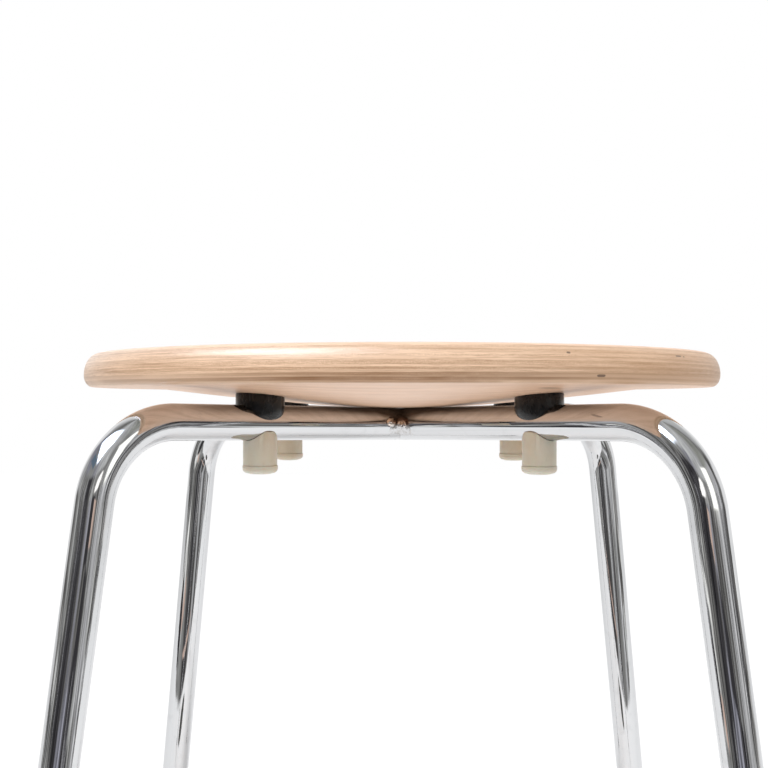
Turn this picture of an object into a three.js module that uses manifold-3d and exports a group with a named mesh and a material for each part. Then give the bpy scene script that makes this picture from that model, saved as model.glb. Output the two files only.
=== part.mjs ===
// Stacking stool: a round dished plywood seat, screwed through moulded spacers to a chromed
// four-legged tube frame that has nylon stacking stops under its cross tubes.
// Lengths are in millimetres and +Z is up. The origin is on the floor, under the seat's middle.
// The front of the stool faces -Y and its left side is at -X.

import * as THREE from 'three';
import { mergeVertices, toCreasedNormals } from 'three/addons/utils/BufferGeometryUtils.js';
import Module from 'manifold-3d';

const wasm = await Module();
wasm.setup();

// Seat: moulded plywood, round, dished alike on both faces
const seatHeight = 450;
const seatDiameter = 350;
const seatThickness = 17.7;
const dishDepth = 10.8;
const dishRadius = 138;
const dishEdgeSoftness = 1;
const rimTopRoundWidth = 7.6;
const rimTopRoundDepth = 11;
const rimBottomRoundWidth = 4.5;
const rimBottomRoundDepth = 6.2;

// The power makes the dish a little flatter in the middle than a cone and steeper at its edge
const dishPowerShare = 1.74;

// Frame tubes: one hoop, and two half hoops welded against it at right angles
const tubeDiameter = 18;
const tubeWall = 1.5;
const footCircleRadius = 252.5;
const legCornerRadius = 189.7;
const crossTubeDip = 3.5;
const hoopBendRadius = 46.5;
const halfHoopBendRadius = 42.5;
const seatToTubeClearance = 0.65;

// Weld in each corner of the crossing, laid down as overlapping beads
const weldBeadRadius = 3.1;
const weldBeadPitch = 2.7;
const weldReach = 6.5;

// Fixings: four screws on one circle go through the frame into inserts in the seat
const screwCircleRadius = 100.4;
const screwDiameter = 6;
const screwLength = 40;
const screwHeadDiameter = 10.5;
const screwHeadHeight = 3.6;
const socketWidth = 4;
const socketDepth = 2.2;
const washerDiameter = 12;
const washerThickness = 1.2;
const screwHoleClearance = 0.3;
const insertDiameter = 10;
const insertThreadDepth = 0.8;
const insertThreadCount = 3;
const insertLength = 12;
const insertHoleSpareDepth = 1.5;

// Spacer: a black cup-shaped puck that sits astride the tube and follows the seat's underside
const spacerDiameter = 25;
const spacerRoundRadius = 7;
const spacerSkirtDrop = 0.5;

// Stacking stop: a nylon sleeve astride the tube from below, closed by a wider domed plug
const sleeveDiameter = 17.4;
const sleeveLobeDepth = 4.4;
const sleeveBottomDepth = 21.8;
const sleeveShelf = 2.5;
const sleeveBore = 13;
const sleeveEdgeRound = 0.5;
const plugDiameter = 18;
const plugHeight = 4;
const plugRoundRadius = 2.4;
const plugDomeRise = 0.5;
const plugFlatDiameter = 9;
const plugSpigotLength = 4;
const plugSpigotWall = 0.9;

// Glide: a moulded foot pressed into each leg, its sole cut level with the floor
const glideDiameter = 19.6;
const glideHeight = 8;
const glideTaper = 0.6;
const glideEdgeRound = 0.8;
const glideCoreDiameter = 12;
const glideRibThickness = 1.6;
const glideRibPitch = 6;
const glideRibCount = 2;

// Every pair of touching pieces keeps this gap
const gap = 0.3;

// One overrun serves all cuts
const overrun = 2;

// Facets
const seatSides = 60;
const tubeSides = 18;
const boreSides = 10;
const roundSides = 16;
const holeSides = 10;
const beadSides = 8;
const bendSteps = 8;
const dishRings = 8;
const edgeSteps = 3;
const creaseAngle = Math.PI / 6;

// Sizes that follow
const seatRadius = seatDiameter / 2;
const tubeRadius = tubeDiameter / 2;
const boreRadius = tubeRadius - tubeWall;
const screwHoleRadius = screwDiameter / 2 + screwHoleClearance;
const rimUnderside = seatHeight - seatThickness;
const middleAxisHeight = rimUnderside - dishDepth - seatToTubeClearance - tubeRadius;
const cornerAxisHeight = middleAxisHeight + crossTubeDip;
const screwAxisHeight = middleAxisHeight + crossTubeDip * screwCircleRadius / legCornerRadius;
const sleeveBottom = screwAxisHeight - sleeveBottomDepth;
const shelfUnderside = screwAxisHeight - tubeRadius - gap - sleeveShelf;
const washerTop = shelfUnderside - gap;
const screwHeadTop = washerTop - washerThickness - gap;
const plugTop = sleeveBottom - gap;

// Azimuths of the four legs in degrees, counted from +X
const legAzimuths = {
  front_left: -135,
  front_right: -45,
  back_right: 45,
  back_left: 135,
};

// Finishes
const finish = (color, roughness, metalness) =>
  new THREE.MeshStandardMaterial({ color, roughness, metalness });
const plywood = finish(0xdcb896, 0.45, 0);
const chrome = finish(0xe6e8ea, 0.08, 1);
const weldMetal = finish(0xb9a898, 0.45, 1);
const blackPlastic = finish(0x17181a, 0.5, 0);
const creamNylon = finish(0xcdc3ad, 0.5, 0);
const zincSteel = finish(0xb4b6b8, 0.35, 1);
const brass = finish(0xb89a5a, 0.35, 1);

// Turns a closed geometry into a solid that can be cut and joined
function solidFrom(geometry) {
  const bare = geometry.clone();
  bare.deleteAttribute('normal');
  bare.deleteAttribute('uv');
  const merged = mergeVertices(bare);
  const vertProperties = new Float32Array(merged.attributes.position.array);
  const triVerts = new Uint32Array(merged.index.array);
  return new wasm.Manifold(new wasm.Mesh({ numProp: 3, vertProperties, triVerts }));
}

// Turns a finished solid back into a geometry, with normals that keep its edges crisp
function geometryFrom(solid) {
  const mesh = solid.getMesh();
  const geometry = new THREE.BufferGeometry();
  geometry.setAttribute('position', new THREE.BufferAttribute(mesh.vertProperties, mesh.numProp));
  geometry.setIndex(new THREE.BufferAttribute(mesh.triVerts, 1));
  return toCreasedNormals(geometry, creaseAngle);
}

// A body of revolution about Z, from an outline of [radius, height] points, lowest first
function revolve(outline, sides) {
  const points = outline.map(([radius, height]) => new THREE.Vector2(radius, height));
  return new THREE.LatheGeometry(points, sides).rotateX(Math.PI / 2);
}

// Corner radius of a hole's polygon whose flats lie on the hole's true radius, so that a round
// piece of nearly that radius fits through it
function holeCornerRadius(radius, sides) {
  return radius / Math.cos(Math.PI / sides);
}

// The space of an upright hole between two heights, with its axis at a distance from the middle
function uprightHole(radius, bottom, top, sides, distance) {
  const corner = holeCornerRadius(radius, sides);
  const height = top - bottom;
  const cylinder = new THREE.CylinderGeometry(corner, corner, height, sides).rotateX(Math.PI / 2);
  return solidFrom(cylinder.translate(distance, 0, bottom + height / 2));
}

// Points of a quarter ellipse from one angle to another, about a centre in the outline's plane
function ellipseArc(centreRadius, centreHeight, width, depth, startAngle, endAngle, steps) {
  const points = [];
  for (let step = 0; step <= steps; step += 1) {
    const angle = THREE.MathUtils.lerp(startAngle, endAngle, step / steps);
    points.push([centreRadius + width * Math.cos(angle), centreHeight + depth * Math.sin(angle)]);
  }
  return points;
}

// How far the dish sinks below the flat rim at a distance from the middle
function dishSink(radius) {
  const sink = dishDepth * (1 - (radius / dishRadius) ** dishPowerShare);
  return (sink + Math.hypot(sink, dishEdgeSoftness)) / 2;
}

// Rings of one face of the seat, from the middle to where its rounded edge begins
function seatFace(rimHeight, outerRadius) {
  const points = [];
  for (let ring = 0; ring <= dishRings; ring += 1) {
    const radius = outerRadius * ring / dishRings;
    points.push([radius, rimHeight - dishSink(radius)]);
  }
  return points;
}

// The seat before its holes are drilled
function seatBlank() {
  const quarter = Math.PI / 2;
  const bottomStart = seatRadius - rimBottomRoundWidth;
  const topStart = seatRadius - rimTopRoundWidth;
  const underside = seatFace(rimUnderside, bottomStart);
  const bottomRound = ellipseArc(
    bottomStart, rimUnderside + rimBottomRoundDepth, rimBottomRoundWidth, rimBottomRoundDepth,
    -quarter, 0, edgeSteps).slice(1);
  const topRound = ellipseArc(
    topStart, seatHeight - rimTopRoundDepth, rimTopRoundWidth, rimTopRoundDepth,
    0, quarter, edgeSteps).slice(0, -1);
  const topFace = seatFace(seatHeight, topStart).reverse();
  return solidFrom(revolve([...underside, ...bottomRound, ...topRound, ...topFace], seatSides));
}

// Height of the seat's underside at a distance from the middle
function undersideHeight(radius) {
  return rimUnderside - dishSink(radius);
}

// The seat with a blind hole for each insert
function makeSeat() {
  const holeTop = undersideHeight(screwCircleRadius) + insertLength + insertHoleSpareDepth;
  let seat = seatBlank();
  for (const azimuth of Object.values(legAzimuths)) {
    const hole = uprightHole(
      insertDiameter / 2 + gap, rimUnderside - dishDepth, holeTop, holeSides, screwCircleRadius);
    seat = seat.subtract(hole.rotate([0, 0, azimuth]));
  }
  return geometryFrom(seat);
}

// Half of a frame tube's route in the upright plane XZ: out from the middle along the cross
// tube, round the bend and down the leg. Each station has a place and a direction.
function legStations(bendRadius, endLift) {
  const middle = new THREE.Vector2(0, middleAxisHeight);
  const corner = new THREE.Vector2(legCornerRadius, cornerAxisHeight);
  const foot = new THREE.Vector2(footCircleRadius, 0);
  const outward = corner.clone().sub(middle).normalize();
  const downward = foot.clone().sub(corner).normalize();
  const bendAngle = Math.acos(outward.dot(downward));
  const tangentLength = bendRadius * Math.tan(bendAngle / 2);
  const inward = new THREE.Vector2(outward.y, -outward.x);
  const bendStart = corner.clone().addScaledVector(outward, -tangentLength);
  const bendCentre = bendStart.clone().addScaledVector(inward, bendRadius);
  const stations = [{ place: middle, direction: outward }];
  for (let step = 0; step <= bendSteps; step += 1) {
    const angle = bendAngle * step / bendSteps;
    const place = bendCentre.clone()
      .addScaledVector(inward, -bendRadius * Math.cos(angle))
      .addScaledVector(outward, bendRadius * Math.sin(angle));
    const direction = outward.clone().rotateAround(new THREE.Vector2(), -angle);
    stations.push({ place, direction });
  }
  const tubeEnd = foot.clone().addScaledVector(downward, -endLift);
  stations.push({ place: tubeEnd, direction: downward });
  return stations;
}

// The whole hoop's route: one leg upwards, through the middle, and the other leg downwards
function hoopStations(bendRadius, endLift) {
  const half = legStations(bendRadius, endLift);
  const mirrored = half.slice(1).reverse().map(({ place, direction }) => ({
    place: new THREE.Vector2(-place.x, place.y),
    direction: new THREE.Vector2(direction.x, -direction.y),
  }));
  const middle = { place: half[0].place, direction: new THREE.Vector2(1, 0) };
  return [...mirrored, middle, ...half.slice(1)];
}

// A curve through stations in the plane XZ, with one step from each station to the next
class TubeRoute extends THREE.Curve {
  constructor(stations) {
    super();
    this.stations = stations;
  }

  between(u, key) {
    const last = this.stations.length - 1;
    const index = Math.min(Math.floor(u * last + Number.EPSILON * last), last - 1);
    const from = this.stations[index][key];
    const to = this.stations[index + 1][key];
    const mixed = from.clone().lerp(to, u * last - index);
    return new THREE.Vector3(mixed.x, 0, mixed.y);
  }

  getPoint(u) {
    return this.between(u, 'place');
  }

  getPointAt(u) {
    return this.getPoint(u);
  }

  getTangentAt(u) {
    return this.between(u, 'direction').normalize();
  }
}

// A round bar or tube swept along stations
function sweptTube(stations, outerRadius, innerRadius) {
  const section = new THREE.Shape(circlePoints(outerRadius, tubeSides));
  if (innerRadius > 0) {
    const corner = holeCornerRadius(innerRadius, boreSides);
    section.holes.push(new THREE.Path(circlePoints(corner, boreSides)));
  }
  const geometry = new THREE.ExtrudeGeometry(section, {
    steps: stations.length - 1,
    bevelEnabled: false,
    extrudePath: new TubeRoute(stations),
  });
  return solidFrom(geometry);
}

// Corner points of a regular polygon
function circlePoints(radius, sides) {
  const points = [];
  for (let side = 0; side < sides; side += 1) {
    const angle = 2 * Math.PI * side / sides;
    points.push(new THREE.Vector2(radius * Math.cos(angle), radius * Math.sin(angle)));
  }
  return points;
}

// The space that a whole hoop takes, grown by a gap, for cutting what sits against the tubes
function hoopEnvelope(bendRadius) {
  return sweptTube(hoopStations(bendRadius, glideHeight), tubeRadius + gap, 0);
}

// A screw hole through both walls of a cross tube
function tubeScrewHole(distance) {
  const reach = tubeRadius + overrun;
  return uprightHole(
    screwHoleRadius, screwAxisHeight - reach, screwAxisHeight + reach, holeSides, distance);
}

// The hoop: one tube from foot to foot
function makeHoop() {
  const tube = sweptTube(hoopStations(hoopBendRadius, glideHeight), tubeRadius, boreRadius);
  return geometryFrom(tube
    .subtract(tubeScrewHole(screwCircleRadius))
    .subtract(tubeScrewHole(-screwCircleRadius)));
}

// A half hoop: its inner end is coped to fit round the hoop, which crosses it along Y
function makeHalfHoop() {
  const tube = sweptTube(legStations(halfHoopBendRadius, glideHeight), tubeRadius, boreRadius);
  return geometryFrom(tube
    .subtract(hoopEnvelope(hoopBendRadius).rotate([0, 0, 90]))
    .subtract(tubeScrewHole(screwCircleRadius)));
}

// The weld in the corner between two tubes that leave the middle 45 degrees to each side of +X:
// beads along the line where the tubes' walls meet, with the tubes' own space cut away
function makeWeld() {
  const beadCount = Math.round(2 * weldReach / weldBeadPitch) + 1;
  let weld = null;
  for (let bead = 0; bead < beadCount; bead += 1) {
    const lift = THREE.MathUtils.lerp(-weldReach, weldReach, bead / (beadCount - 1));
    const distance = Math.SQRT2 * Math.sqrt(tubeRadius ** 2 - lift ** 2);
    const ball = new THREE.SphereGeometry(weldBeadRadius, beadSides, beadSides / 2);
    const solid = solidFrom(ball.translate(distance, 0, middleAxisHeight + lift));
    weld = weld ? weld.add(solid) : solid;
  }
  const hoop = hoopEnvelope(hoopBendRadius);
  return geometryFrom(weld
    .subtract(hoop.rotate([0, 0, 45]))
    .subtract(hoop.rotate([0, 0, -45])));
}

// The spacer between tube and seat, seen in the plane of its leg
function makeSpacer() {
  const radius = spacerDiameter / 2;
  const lowest = screwAxisHeight + spacerSkirtDrop;
  const outline = [
    [0, lowest],
    ...ellipseArc(
      radius - spacerRoundRadius, lowest + spacerRoundRadius, spacerRoundRadius, spacerRoundRadius,
      -Math.PI / 2, 0, edgeSteps),
    [radius, rimUnderside],
    [0, rimUnderside],
  ];
  const blank = solidFrom(revolve(outline, roundSides).translate(screwCircleRadius, 0, 0));
  const seatAbove = seatBlank().translate([0, 0, -gap]);
  const screwHole = uprightHole(
    screwHoleRadius, lowest - overrun, rimUnderside + overrun, holeSides, screwCircleRadius);
  return geometryFrom(blank
    .subtract(hoopEnvelope(hoopBendRadius))
    .subtract(seatAbove)
    .subtract(screwHole));
}

// The sleeve of a stacking stop: saddle above, shelf for the screw's head, open bore below
function makeSleeve() {
  const radius = sleeveDiameter / 2;
  const top = screwAxisHeight - sleeveLobeDepth;
  const outline = [
    [0, sleeveBottom],
    [radius, sleeveBottom],
    [radius, top - sleeveEdgeRound],
    [radius - sleeveEdgeRound, top],
    [0, top],
  ];
  const blank = solidFrom(revolve(outline, roundSides).translate(screwCircleRadius, 0, 0));
  const bore = uprightHole(
    sleeveBore / 2, sleeveBottom - overrun, shelfUnderside, roundSides, screwCircleRadius);
  const screwHole = uprightHole(
    screwHoleRadius, sleeveBottom, screwAxisHeight, holeSides, screwCircleRadius);
  return geometryFrom(blank
    .subtract(hoopEnvelope(hoopBendRadius))
    .subtract(bore)
    .subtract(screwHole));
}

// The plug that closes a sleeve: domed below with a small flat, and a hollow spigot above
function makePlug() {
  const radius = plugDiameter / 2;
  const bottom = plugTop - plugHeight;
  const spigotRadius = sleeveBore / 2 - gap;
  const spigotTop = plugTop + plugSpigotLength;
  const outline = [
    [0, bottom],
    [plugFlatDiameter / 2, bottom],
    ...ellipseArc(
      radius - plugRoundRadius, bottom + plugDomeRise + plugRoundRadius, plugRoundRadius,
      plugRoundRadius, -Math.PI / 2, 0, edgeSteps),
    [radius, plugTop],
    [spigotRadius, plugTop],
    [spigotRadius, spigotTop],
    [spigotRadius - plugSpigotWall, spigotTop],
    [spigotRadius - plugSpigotWall, plugTop],
    [0, plugTop],
  ];
  return revolve(outline, roundSides).translate(screwCircleRadius, 0, 0);
}

// The washer under the screw's head
function makeWasher() {
  const bottom = washerTop - washerThickness;
  const outline = [
    [screwHoleRadius, bottom],
    [washerDiameter / 2, bottom],
    [washerDiameter / 2, washerTop],
    [screwHoleRadius, washerTop],
    [screwHoleRadius, bottom],
  ];
  return revolve(outline, roundSides).translate(screwCircleRadius, 0, 0);
}

// The screw, head down, with a hexagon socket
function makeScrew() {
  const headRadius = screwHeadDiameter / 2;
  const shankRadius = screwDiameter / 2;
  const headBottom = screwHeadTop - screwHeadHeight;
  const shankTop = screwHeadTop + screwLength;
  const outline = [
    [0, headBottom],
    [headRadius - screwHeadHeight / 2, headBottom],
    [headRadius, screwHeadTop - screwHeadHeight / 2],
    [headRadius, screwHeadTop],
    [shankRadius, screwHeadTop],
    [shankRadius, shankTop - shankRadius / 2],
    [shankRadius / 2, shankTop],
    [0, shankTop],
  ];
  const body = solidFrom(revolve(outline, roundSides).translate(screwCircleRadius, 0, 0));
  const socket = uprightHole(
    socketWidth / 2, headBottom - overrun, headBottom + socketDepth, 6, screwCircleRadius);
  return geometryFrom(body.subtract(socket));
}

// The insert in the seat: a sleeve whose outer ridges bite into the wood
function makeInsert() {
  const bottom = undersideHeight(screwCircleRadius) + gap;
  const crest = insertDiameter / 2;
  const root = crest - insertThreadDepth;
  const bore = screwDiameter / 2 + screwHoleClearance;
  const pitch = insertLength / (insertThreadCount + 1);
  const outline = [[bore, bottom], [root, bottom]];
  for (let thread = 0; thread < insertThreadCount; thread += 1) {
    const middle = bottom + pitch * (thread + 1);
    outline.push([root, middle - pitch / 4], [crest, middle], [root, middle + pitch / 4]);
  }
  outline.push([root, bottom + insertLength], [bore, bottom + insertLength], [bore, bottom]);
  return revolve(outline, holeSides).translate(screwCircleRadius, 0, 0);
}

// Angle between a leg and the upright
function legSplay() {
  return Math.atan2(footCircleRadius - legCornerRadius, cornerAxisHeight);
}

// A glide along its leg's axis, which is Z here, with the floor's slope cut from its sole
function makeGlide() {
  const splay = legSplay();
  const radius = glideDiameter / 2;
  const collarTop = glideHeight - gap;
  const core = glideCoreDiameter / 2;
  const ribRadius = boreRadius - gap;
  const outline = [
    [0, -glideHeight],
    [radius - glideTaper, -glideHeight],
    [radius - glideTaper, 0],
    [radius, collarTop - glideEdgeRound],
    [radius - glideEdgeRound, collarTop],
    [core, collarTop],
  ];
  for (let rib = 1; rib <= glideRibCount; rib += 1) {
    const ribTop = collarTop + glideRibPitch * rib;
    const ribBottom = ribTop - glideRibThickness;
    outline.push([core, ribBottom], [ribRadius, ribBottom], [ribRadius, ribTop], [core, ribTop]);
  }
  const plugTopHeight = collarTop + glideRibPitch * glideRibCount + glideRibThickness;
  outline.push([core, plugTopHeight], [0, plugTopHeight]);
  const blank = solidFrom(revolve(outline, roundSides));
  const floorSize = 2 * (glideDiameter + glideHeight);
  const floor = new THREE.BoxGeometry(floorSize, floorSize, floorSize)
    .translate(0, 0, -floorSize / 2)
    .rotateY(splay);
  return geometryFrom(blank.subtract(solidFrom(floor)));
}

// Names a mesh and puts it in its group
function addPiece(group, name, geometry, material) {
  const mesh = new THREE.Mesh(geometry, material);
  mesh.name = name;
  group.add(mesh);
  return mesh;
}

const stool = new THREE.Group();

addPiece(stool, 'seat', makeSeat(), plywood);

const hoop = addPiece(stool, 'hoop', makeHoop(), chrome);
hoop.rotation.z = THREE.MathUtils.degToRad(legAzimuths.front_right);

const halfHoop = makeHalfHoop();
for (const corner of ['front_left', 'back_right']) {
  const mesh = addPiece(stool, `half_hoop_${corner}`, halfHoop, chrome);
  mesh.rotation.z = THREE.MathUtils.degToRad(legAzimuths[corner]);
}

const weldSides = { right: 0, back: 90, left: 180, front: -90 };
const weld = makeWeld();
for (const [side, azimuth] of Object.entries(weldSides)) {
  const mesh = addPiece(stool, `weld_${side}`, weld, weldMetal);
  mesh.rotation.z = THREE.MathUtils.degToRad(azimuth);
}

const fixings = [
  ['spacer', makeSpacer(), blackPlastic],
  ['stack_sleeve', makeSleeve(), creamNylon],
  ['stack_plug', makePlug(), creamNylon],
  ['washer', makeWasher(), zincSteel],
  ['screw', makeScrew(), zincSteel],
  ['insert', makeInsert(), brass],
];
const glide = makeGlide();
for (const [corner, azimuth] of Object.entries(legAzimuths)) {
  const side = new THREE.Group();
  side.rotation.z = THREE.MathUtils.degToRad(azimuth);
  stool.add(side);
  for (const [name, geometry, material] of fixings) {
    addPiece(side, `${name}_${corner}`, geometry, material);
  }
  const foot = addPiece(side, `glide_${corner}`, glide, blackPlastic);
  foot.position.x = footCircleRadius;
  foot.rotation.y = -legSplay();
}

export default stool;
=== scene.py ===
"""A stacking stool: a dished plywood seat on a chromed tube frame, with spacers, stops and glides."""

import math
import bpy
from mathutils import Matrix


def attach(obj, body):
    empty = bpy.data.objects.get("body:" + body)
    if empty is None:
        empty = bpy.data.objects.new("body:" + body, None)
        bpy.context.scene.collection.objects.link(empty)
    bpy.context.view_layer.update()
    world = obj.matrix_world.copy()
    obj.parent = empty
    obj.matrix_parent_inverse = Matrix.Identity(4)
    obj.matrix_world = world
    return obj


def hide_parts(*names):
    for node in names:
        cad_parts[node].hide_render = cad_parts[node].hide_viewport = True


bl_info = {
    "name": "Stacking Stool",
    "version": (1, 0, 0),
    "blender": (4, 5, 0),
    "location": "3D View > Sidebar > Stool",
    "description": "Builds a stacking stool with a plywood seat on a chromed tube frame",
    "category": "Object",
}

import bpy
from bpy.props import FloatProperty, FloatVectorProperty, PointerProperty
from mathutils import Vector, noise

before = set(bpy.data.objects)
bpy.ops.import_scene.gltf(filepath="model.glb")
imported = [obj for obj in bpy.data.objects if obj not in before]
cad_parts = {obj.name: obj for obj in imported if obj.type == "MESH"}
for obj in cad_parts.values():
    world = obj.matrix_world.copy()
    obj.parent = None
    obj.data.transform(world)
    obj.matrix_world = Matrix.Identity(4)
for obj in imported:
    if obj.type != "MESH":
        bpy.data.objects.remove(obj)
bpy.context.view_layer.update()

# Azimuths of the legs, counted from +X
LEG_AZIMUTHS = {
    "front_left": math.radians(-135),
    "front_right": math.radians(-45),
    "back_right": math.radians(45),
    "back_left": math.radians(135),
}
WELD_AZIMUTHS = {
    "front": math.radians(-90),
    "right": 0.0,
    "back": math.radians(90),
    "left": math.radians(180),
}

# How finely the meshes are divided, and the angle from which an edge is sharp
SEAT_SIDES = 256
SEAT_FACE_RINGS = 80
SEAT_ROUND_STEPS = 18
TUBE_SIDES = 64
BORE_SIDES = 64
BEND_STEPS = 28
PIECE_SIDES = 96
SADDLE_RINGS = 14
CUP_RINGS = 42
ROUND_STEPS = 8
WELD_STEPS = 60
WELD_ACROSS = 72
SMOOTH_ANGLE = math.radians(38)

# A weld: its fillet, how far its borders sink into the tubes, its width as a share of its reach,
# and its grain: how fine, how much it lifts, and the step in it from weld to weld
WELD_FILLET = 0.0019
WELD_SINK = 0.0004
WELD_WIDTH_SHARE = 1.15
WELD_GRAIN = 900
WELD_GRAIN_LIFT = 0.22
WELD_GRAIN_STEP = 0.01
# Drops of a weld: sideways and upwards from the middle of the corner, radius and height, all as
# shares of the weld's reach
WELD_DROPS = (
    (-0.72, 0.24, 0.42, 0.30),
    (0.14, 0.00, 0.42, 0.32),
    (-0.34, 0.48, 0.13, 0.08),
    (0.42, -0.30, 0.12, 0.07),
)
# How many of them, from the first, the brown painted shade leaves out, and how much of the fillet they
# stand on
BRIGHT_DROPS = 2
DROP_FOOT = 0.5
# How far the drops of the other welds swing aside, as a share of the reach, and the steps in
# that from weld to weld and from drop to drop
DROP_SWING = 0.12
SWING_BY_WELD = 2.4
SWING_BY_DROP = 1.7

# Play where the half hoops meet the hoop, and where spacers and stops meet what they sit on
COPE_GAP = 0.00005
SNUG = 0.00006
# The rounded edge of spacers and sleeves, and how far from its faces its middle lies, as a share
EDGE_ROUND = 0.0005
EDGE_MIDDLE = 0.3
# The stop's seam, the rounds beside it, the spigot inside it, and how much later than straight
# down the plug's round begins, as an angle
SEAM = 0.00005
SEAM_ROUND = 0.00015
SPIGOT_LENGTH = 0.004
SPIGOT_WALL = 0.0009
PLUG_ROUND_START = 0.2

# Share of the belly's radius inside which it is even
BELLY_FLAT_SHARE = 0.42


# Settings


def length(name, description, default):
    """A length that a user may change"""
    return FloatProperty(
        name=name, description=description, default=default, min=0.0, precision=5, unit="LENGTH"
    )


def colour(name, description, default):
    """A colour that a user may change"""
    return FloatVectorProperty(
        name=name, description=description, default=default, min=0.0, max=1.0, subtype="COLOR"
    )


def angle(name, description, default):
    """An angle that a user may change, given in degrees"""
    return FloatProperty(
        name=name, description=description, default=math.radians(default), subtype="ANGLE"
    )


class SeatSettings(bpy.types.PropertyGroup):
    """Sizes and colours of the plywood seat"""

    height: length("Height", "Floor to the seat's flat rim", 0.450)
    diameter: length("Diameter", "Across the seat", 0.350)
    thickness: length("Thickness", "Thickness of the board", 0.0177)
    dish_depth: length("Dish depth", "How far the middle sinks", 0.0108)
    dish_radius: length("Dish radius", "Middle to where the dish ends", 0.138)
    dish_softness: length("Dish edge softness", "How gently the dish's edge fades out", 0.001)
    dish_power: FloatProperty(name="Dish power", description="Shape of the dish's slope", default=1.74)
    belly: length("Belly", "How far the underside swells at the crossing", 0.00055)
    belly_radius: length("Belly radius", "Middle to where the swelling ends", 0.072)
    top_round_width: length("Top round width", "Top edge's round, inwards", 0.0076)
    top_round_depth: length("Top round depth", "Top edge's round, downwards", 0.011)
    bottom_round_width: length("Bottom round width", "Lower edge's round, inwards", 0.0045)
    bottom_round_depth: length("Bottom round depth", "Lower edge's round, upwards", 0.0062)
    pale_ply: colour("Pale ply", "Colour of the palest plies", (0.93, 0.67, 0.475))
    dark_ply: colour("Dark ply", "Colour of the darkest plies", (0.34, 0.175, 0.08))
    veneer: colour("Veneer", "Colour of the face veneers", (0.93, 0.615, 0.425))


class TubeSettings(bpy.types.PropertyGroup):
    """Sizes and colours of the tube frame"""

    diameter: length("Tube diameter", "Outside of the tube", 0.018)
    wall: length("Tube wall", "Thickness of the tube's wall", 0.0015)
    foot_radius: length("Foot circle", "Middle to each foot, on the floor", 0.2525)
    corner_radius: length("Corner circle", "Middle to where cross tube and leg would meet", 0.1897)
    dip: length("Dip", "How far the cross tubes drop towards the middle", 0.0035)
    hoop_bend: length("Hoop bend", "Bend radius of the whole hoop", 0.0465)
    half_hoop_bend: length("Half hoop bend", "Bend radius of the half hoops", 0.0425)
    seat_clearance: length("Seat clearance", "Gap from the crossing to the seat", 0.00065)
    chrome: colour("Chrome", "Colour of the chrome plate", (0.66, 0.665, 0.675))
    weld_reach: length("Weld reach", "Half the height of a weld", 0.0065)


class FittingSettings(bpy.types.PropertyGroup):
    """Sizes and colours of the spacers, stops, screws and glides"""

    circle_radius: length("Screw circle", "Middle to each screw", 0.1004)
    screw_hole: length("Screw hole", "Diameter of the holes for the screws", 0.0066)
    spacer_diameter: length("Spacer diameter", "Across a spacer", 0.025)
    spacer_round: length("Spacer round", "Round at the spacer's lower edge", 0.007)
    spacer_drop: length("Spacer skirt", "Tube's axis to the spacer's skirt", 0.0005)
    sleeve_diameter: length("Stop diameter", "Across a stop's sleeve", 0.0174)
    sleeve_bore: length("Stop bore", "Across the sleeve's bore", 0.013)
    sleeve_lobe: length("Stop lobe", "Tube's axis down to the top of the lobes", 0.0044)
    sleeve_bottom: length("Stop bottom", "Tube's axis down to the sleeve's end", 0.0218)
    sleeve_shelf: length("Stop shelf", "Thickness of the shelf under the tube", 0.0025)
    plug_diameter: length("Plug diameter", "Across the stop's end", 0.018)
    plug_height: length("Plug height", "Height of the stop's end", 0.00425)
    plug_round: length("Plug round", "Round at the stop's end", 0.0024)
    plug_dome: length("Plug dome", "Rise of the stop's end at its edge", 0.0005)
    plug_flat: length("Plug flat", "Across the flat of the stop's end", 0.009)
    glide_height: length("Glide height", "Height of a foot's collar", 0.008)
    black: colour("Black plastic", "Colour of the spacers and glides", (0.006, 0.006, 0.006))
    cream: colour("Cream nylon", "Colour of the stops", (0.70, 0.675, 0.57))
    zinc: colour("Zinc plate", "Colour of the screws and washers", (0.62, 0.63, 0.65))
    brass: colour("Brass", "Colour of the inserts", (0.72, 0.55, 0.27))


class StageSettings(bpy.types.PropertyGroup):
    """The camera, the lamps and the floor"""

    camera_distance: length("Camera distance", "Camera to the stool's middle", 0.65917)
    camera_aside: length("Camera aside", "How far the view's axis passes left of the middle", 0.0150)
    camera_height: length("Camera height", "Floor to the camera", 0.4243)
    camera_turn: angle("Camera turn", "Turn of the view to the left", 1.656)
    lens: FloatProperty(name="Lens", description="Focal length", default=54.18, unit="CAMERA")
    shift_x: FloatProperty(name="Shift across", description="Shift of the view", default=0.0133)
    shift_y: FloatProperty(name="Shift up", description="Shift of the view", default=0.0234)
    fill: FloatProperty(name="Fill", description="Strength of the soft light all round", default=0.66)
    key: FloatProperty(name="Key", description="Power of the soft lamp", default=75.0, unit="POWER")
    key_turn: angle("Key turn", "Turn of the soft lamp, from the camera's side to the right", -24)
    key_rise: angle("Key rise", "Height of the soft lamp above the seat, as an angle", 56)
    key_distance: length("Key distance", "Seat to the soft lamp", 3.2)
    key_size: length("Key size", "Across the soft lamp", 1.4)


class StoolSettings(bpy.types.PropertyGroup):
    """All the stool's settings"""

    seat: PointerProperty(type=SeatSettings)
    tube: PointerProperty(type=TubeSettings)
    fitting: PointerProperty(type=FittingSettings)
    stage: PointerProperty(type=StageSettings)


def stool():
    """The settings of this scene's stool"""
    return bpy.context.scene.stool


# Heights that follow from the settings


def rim_underside():
    """Height of the seat's underside at its flat rim"""
    seat = stool().seat
    return seat.height - seat.thickness


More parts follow.
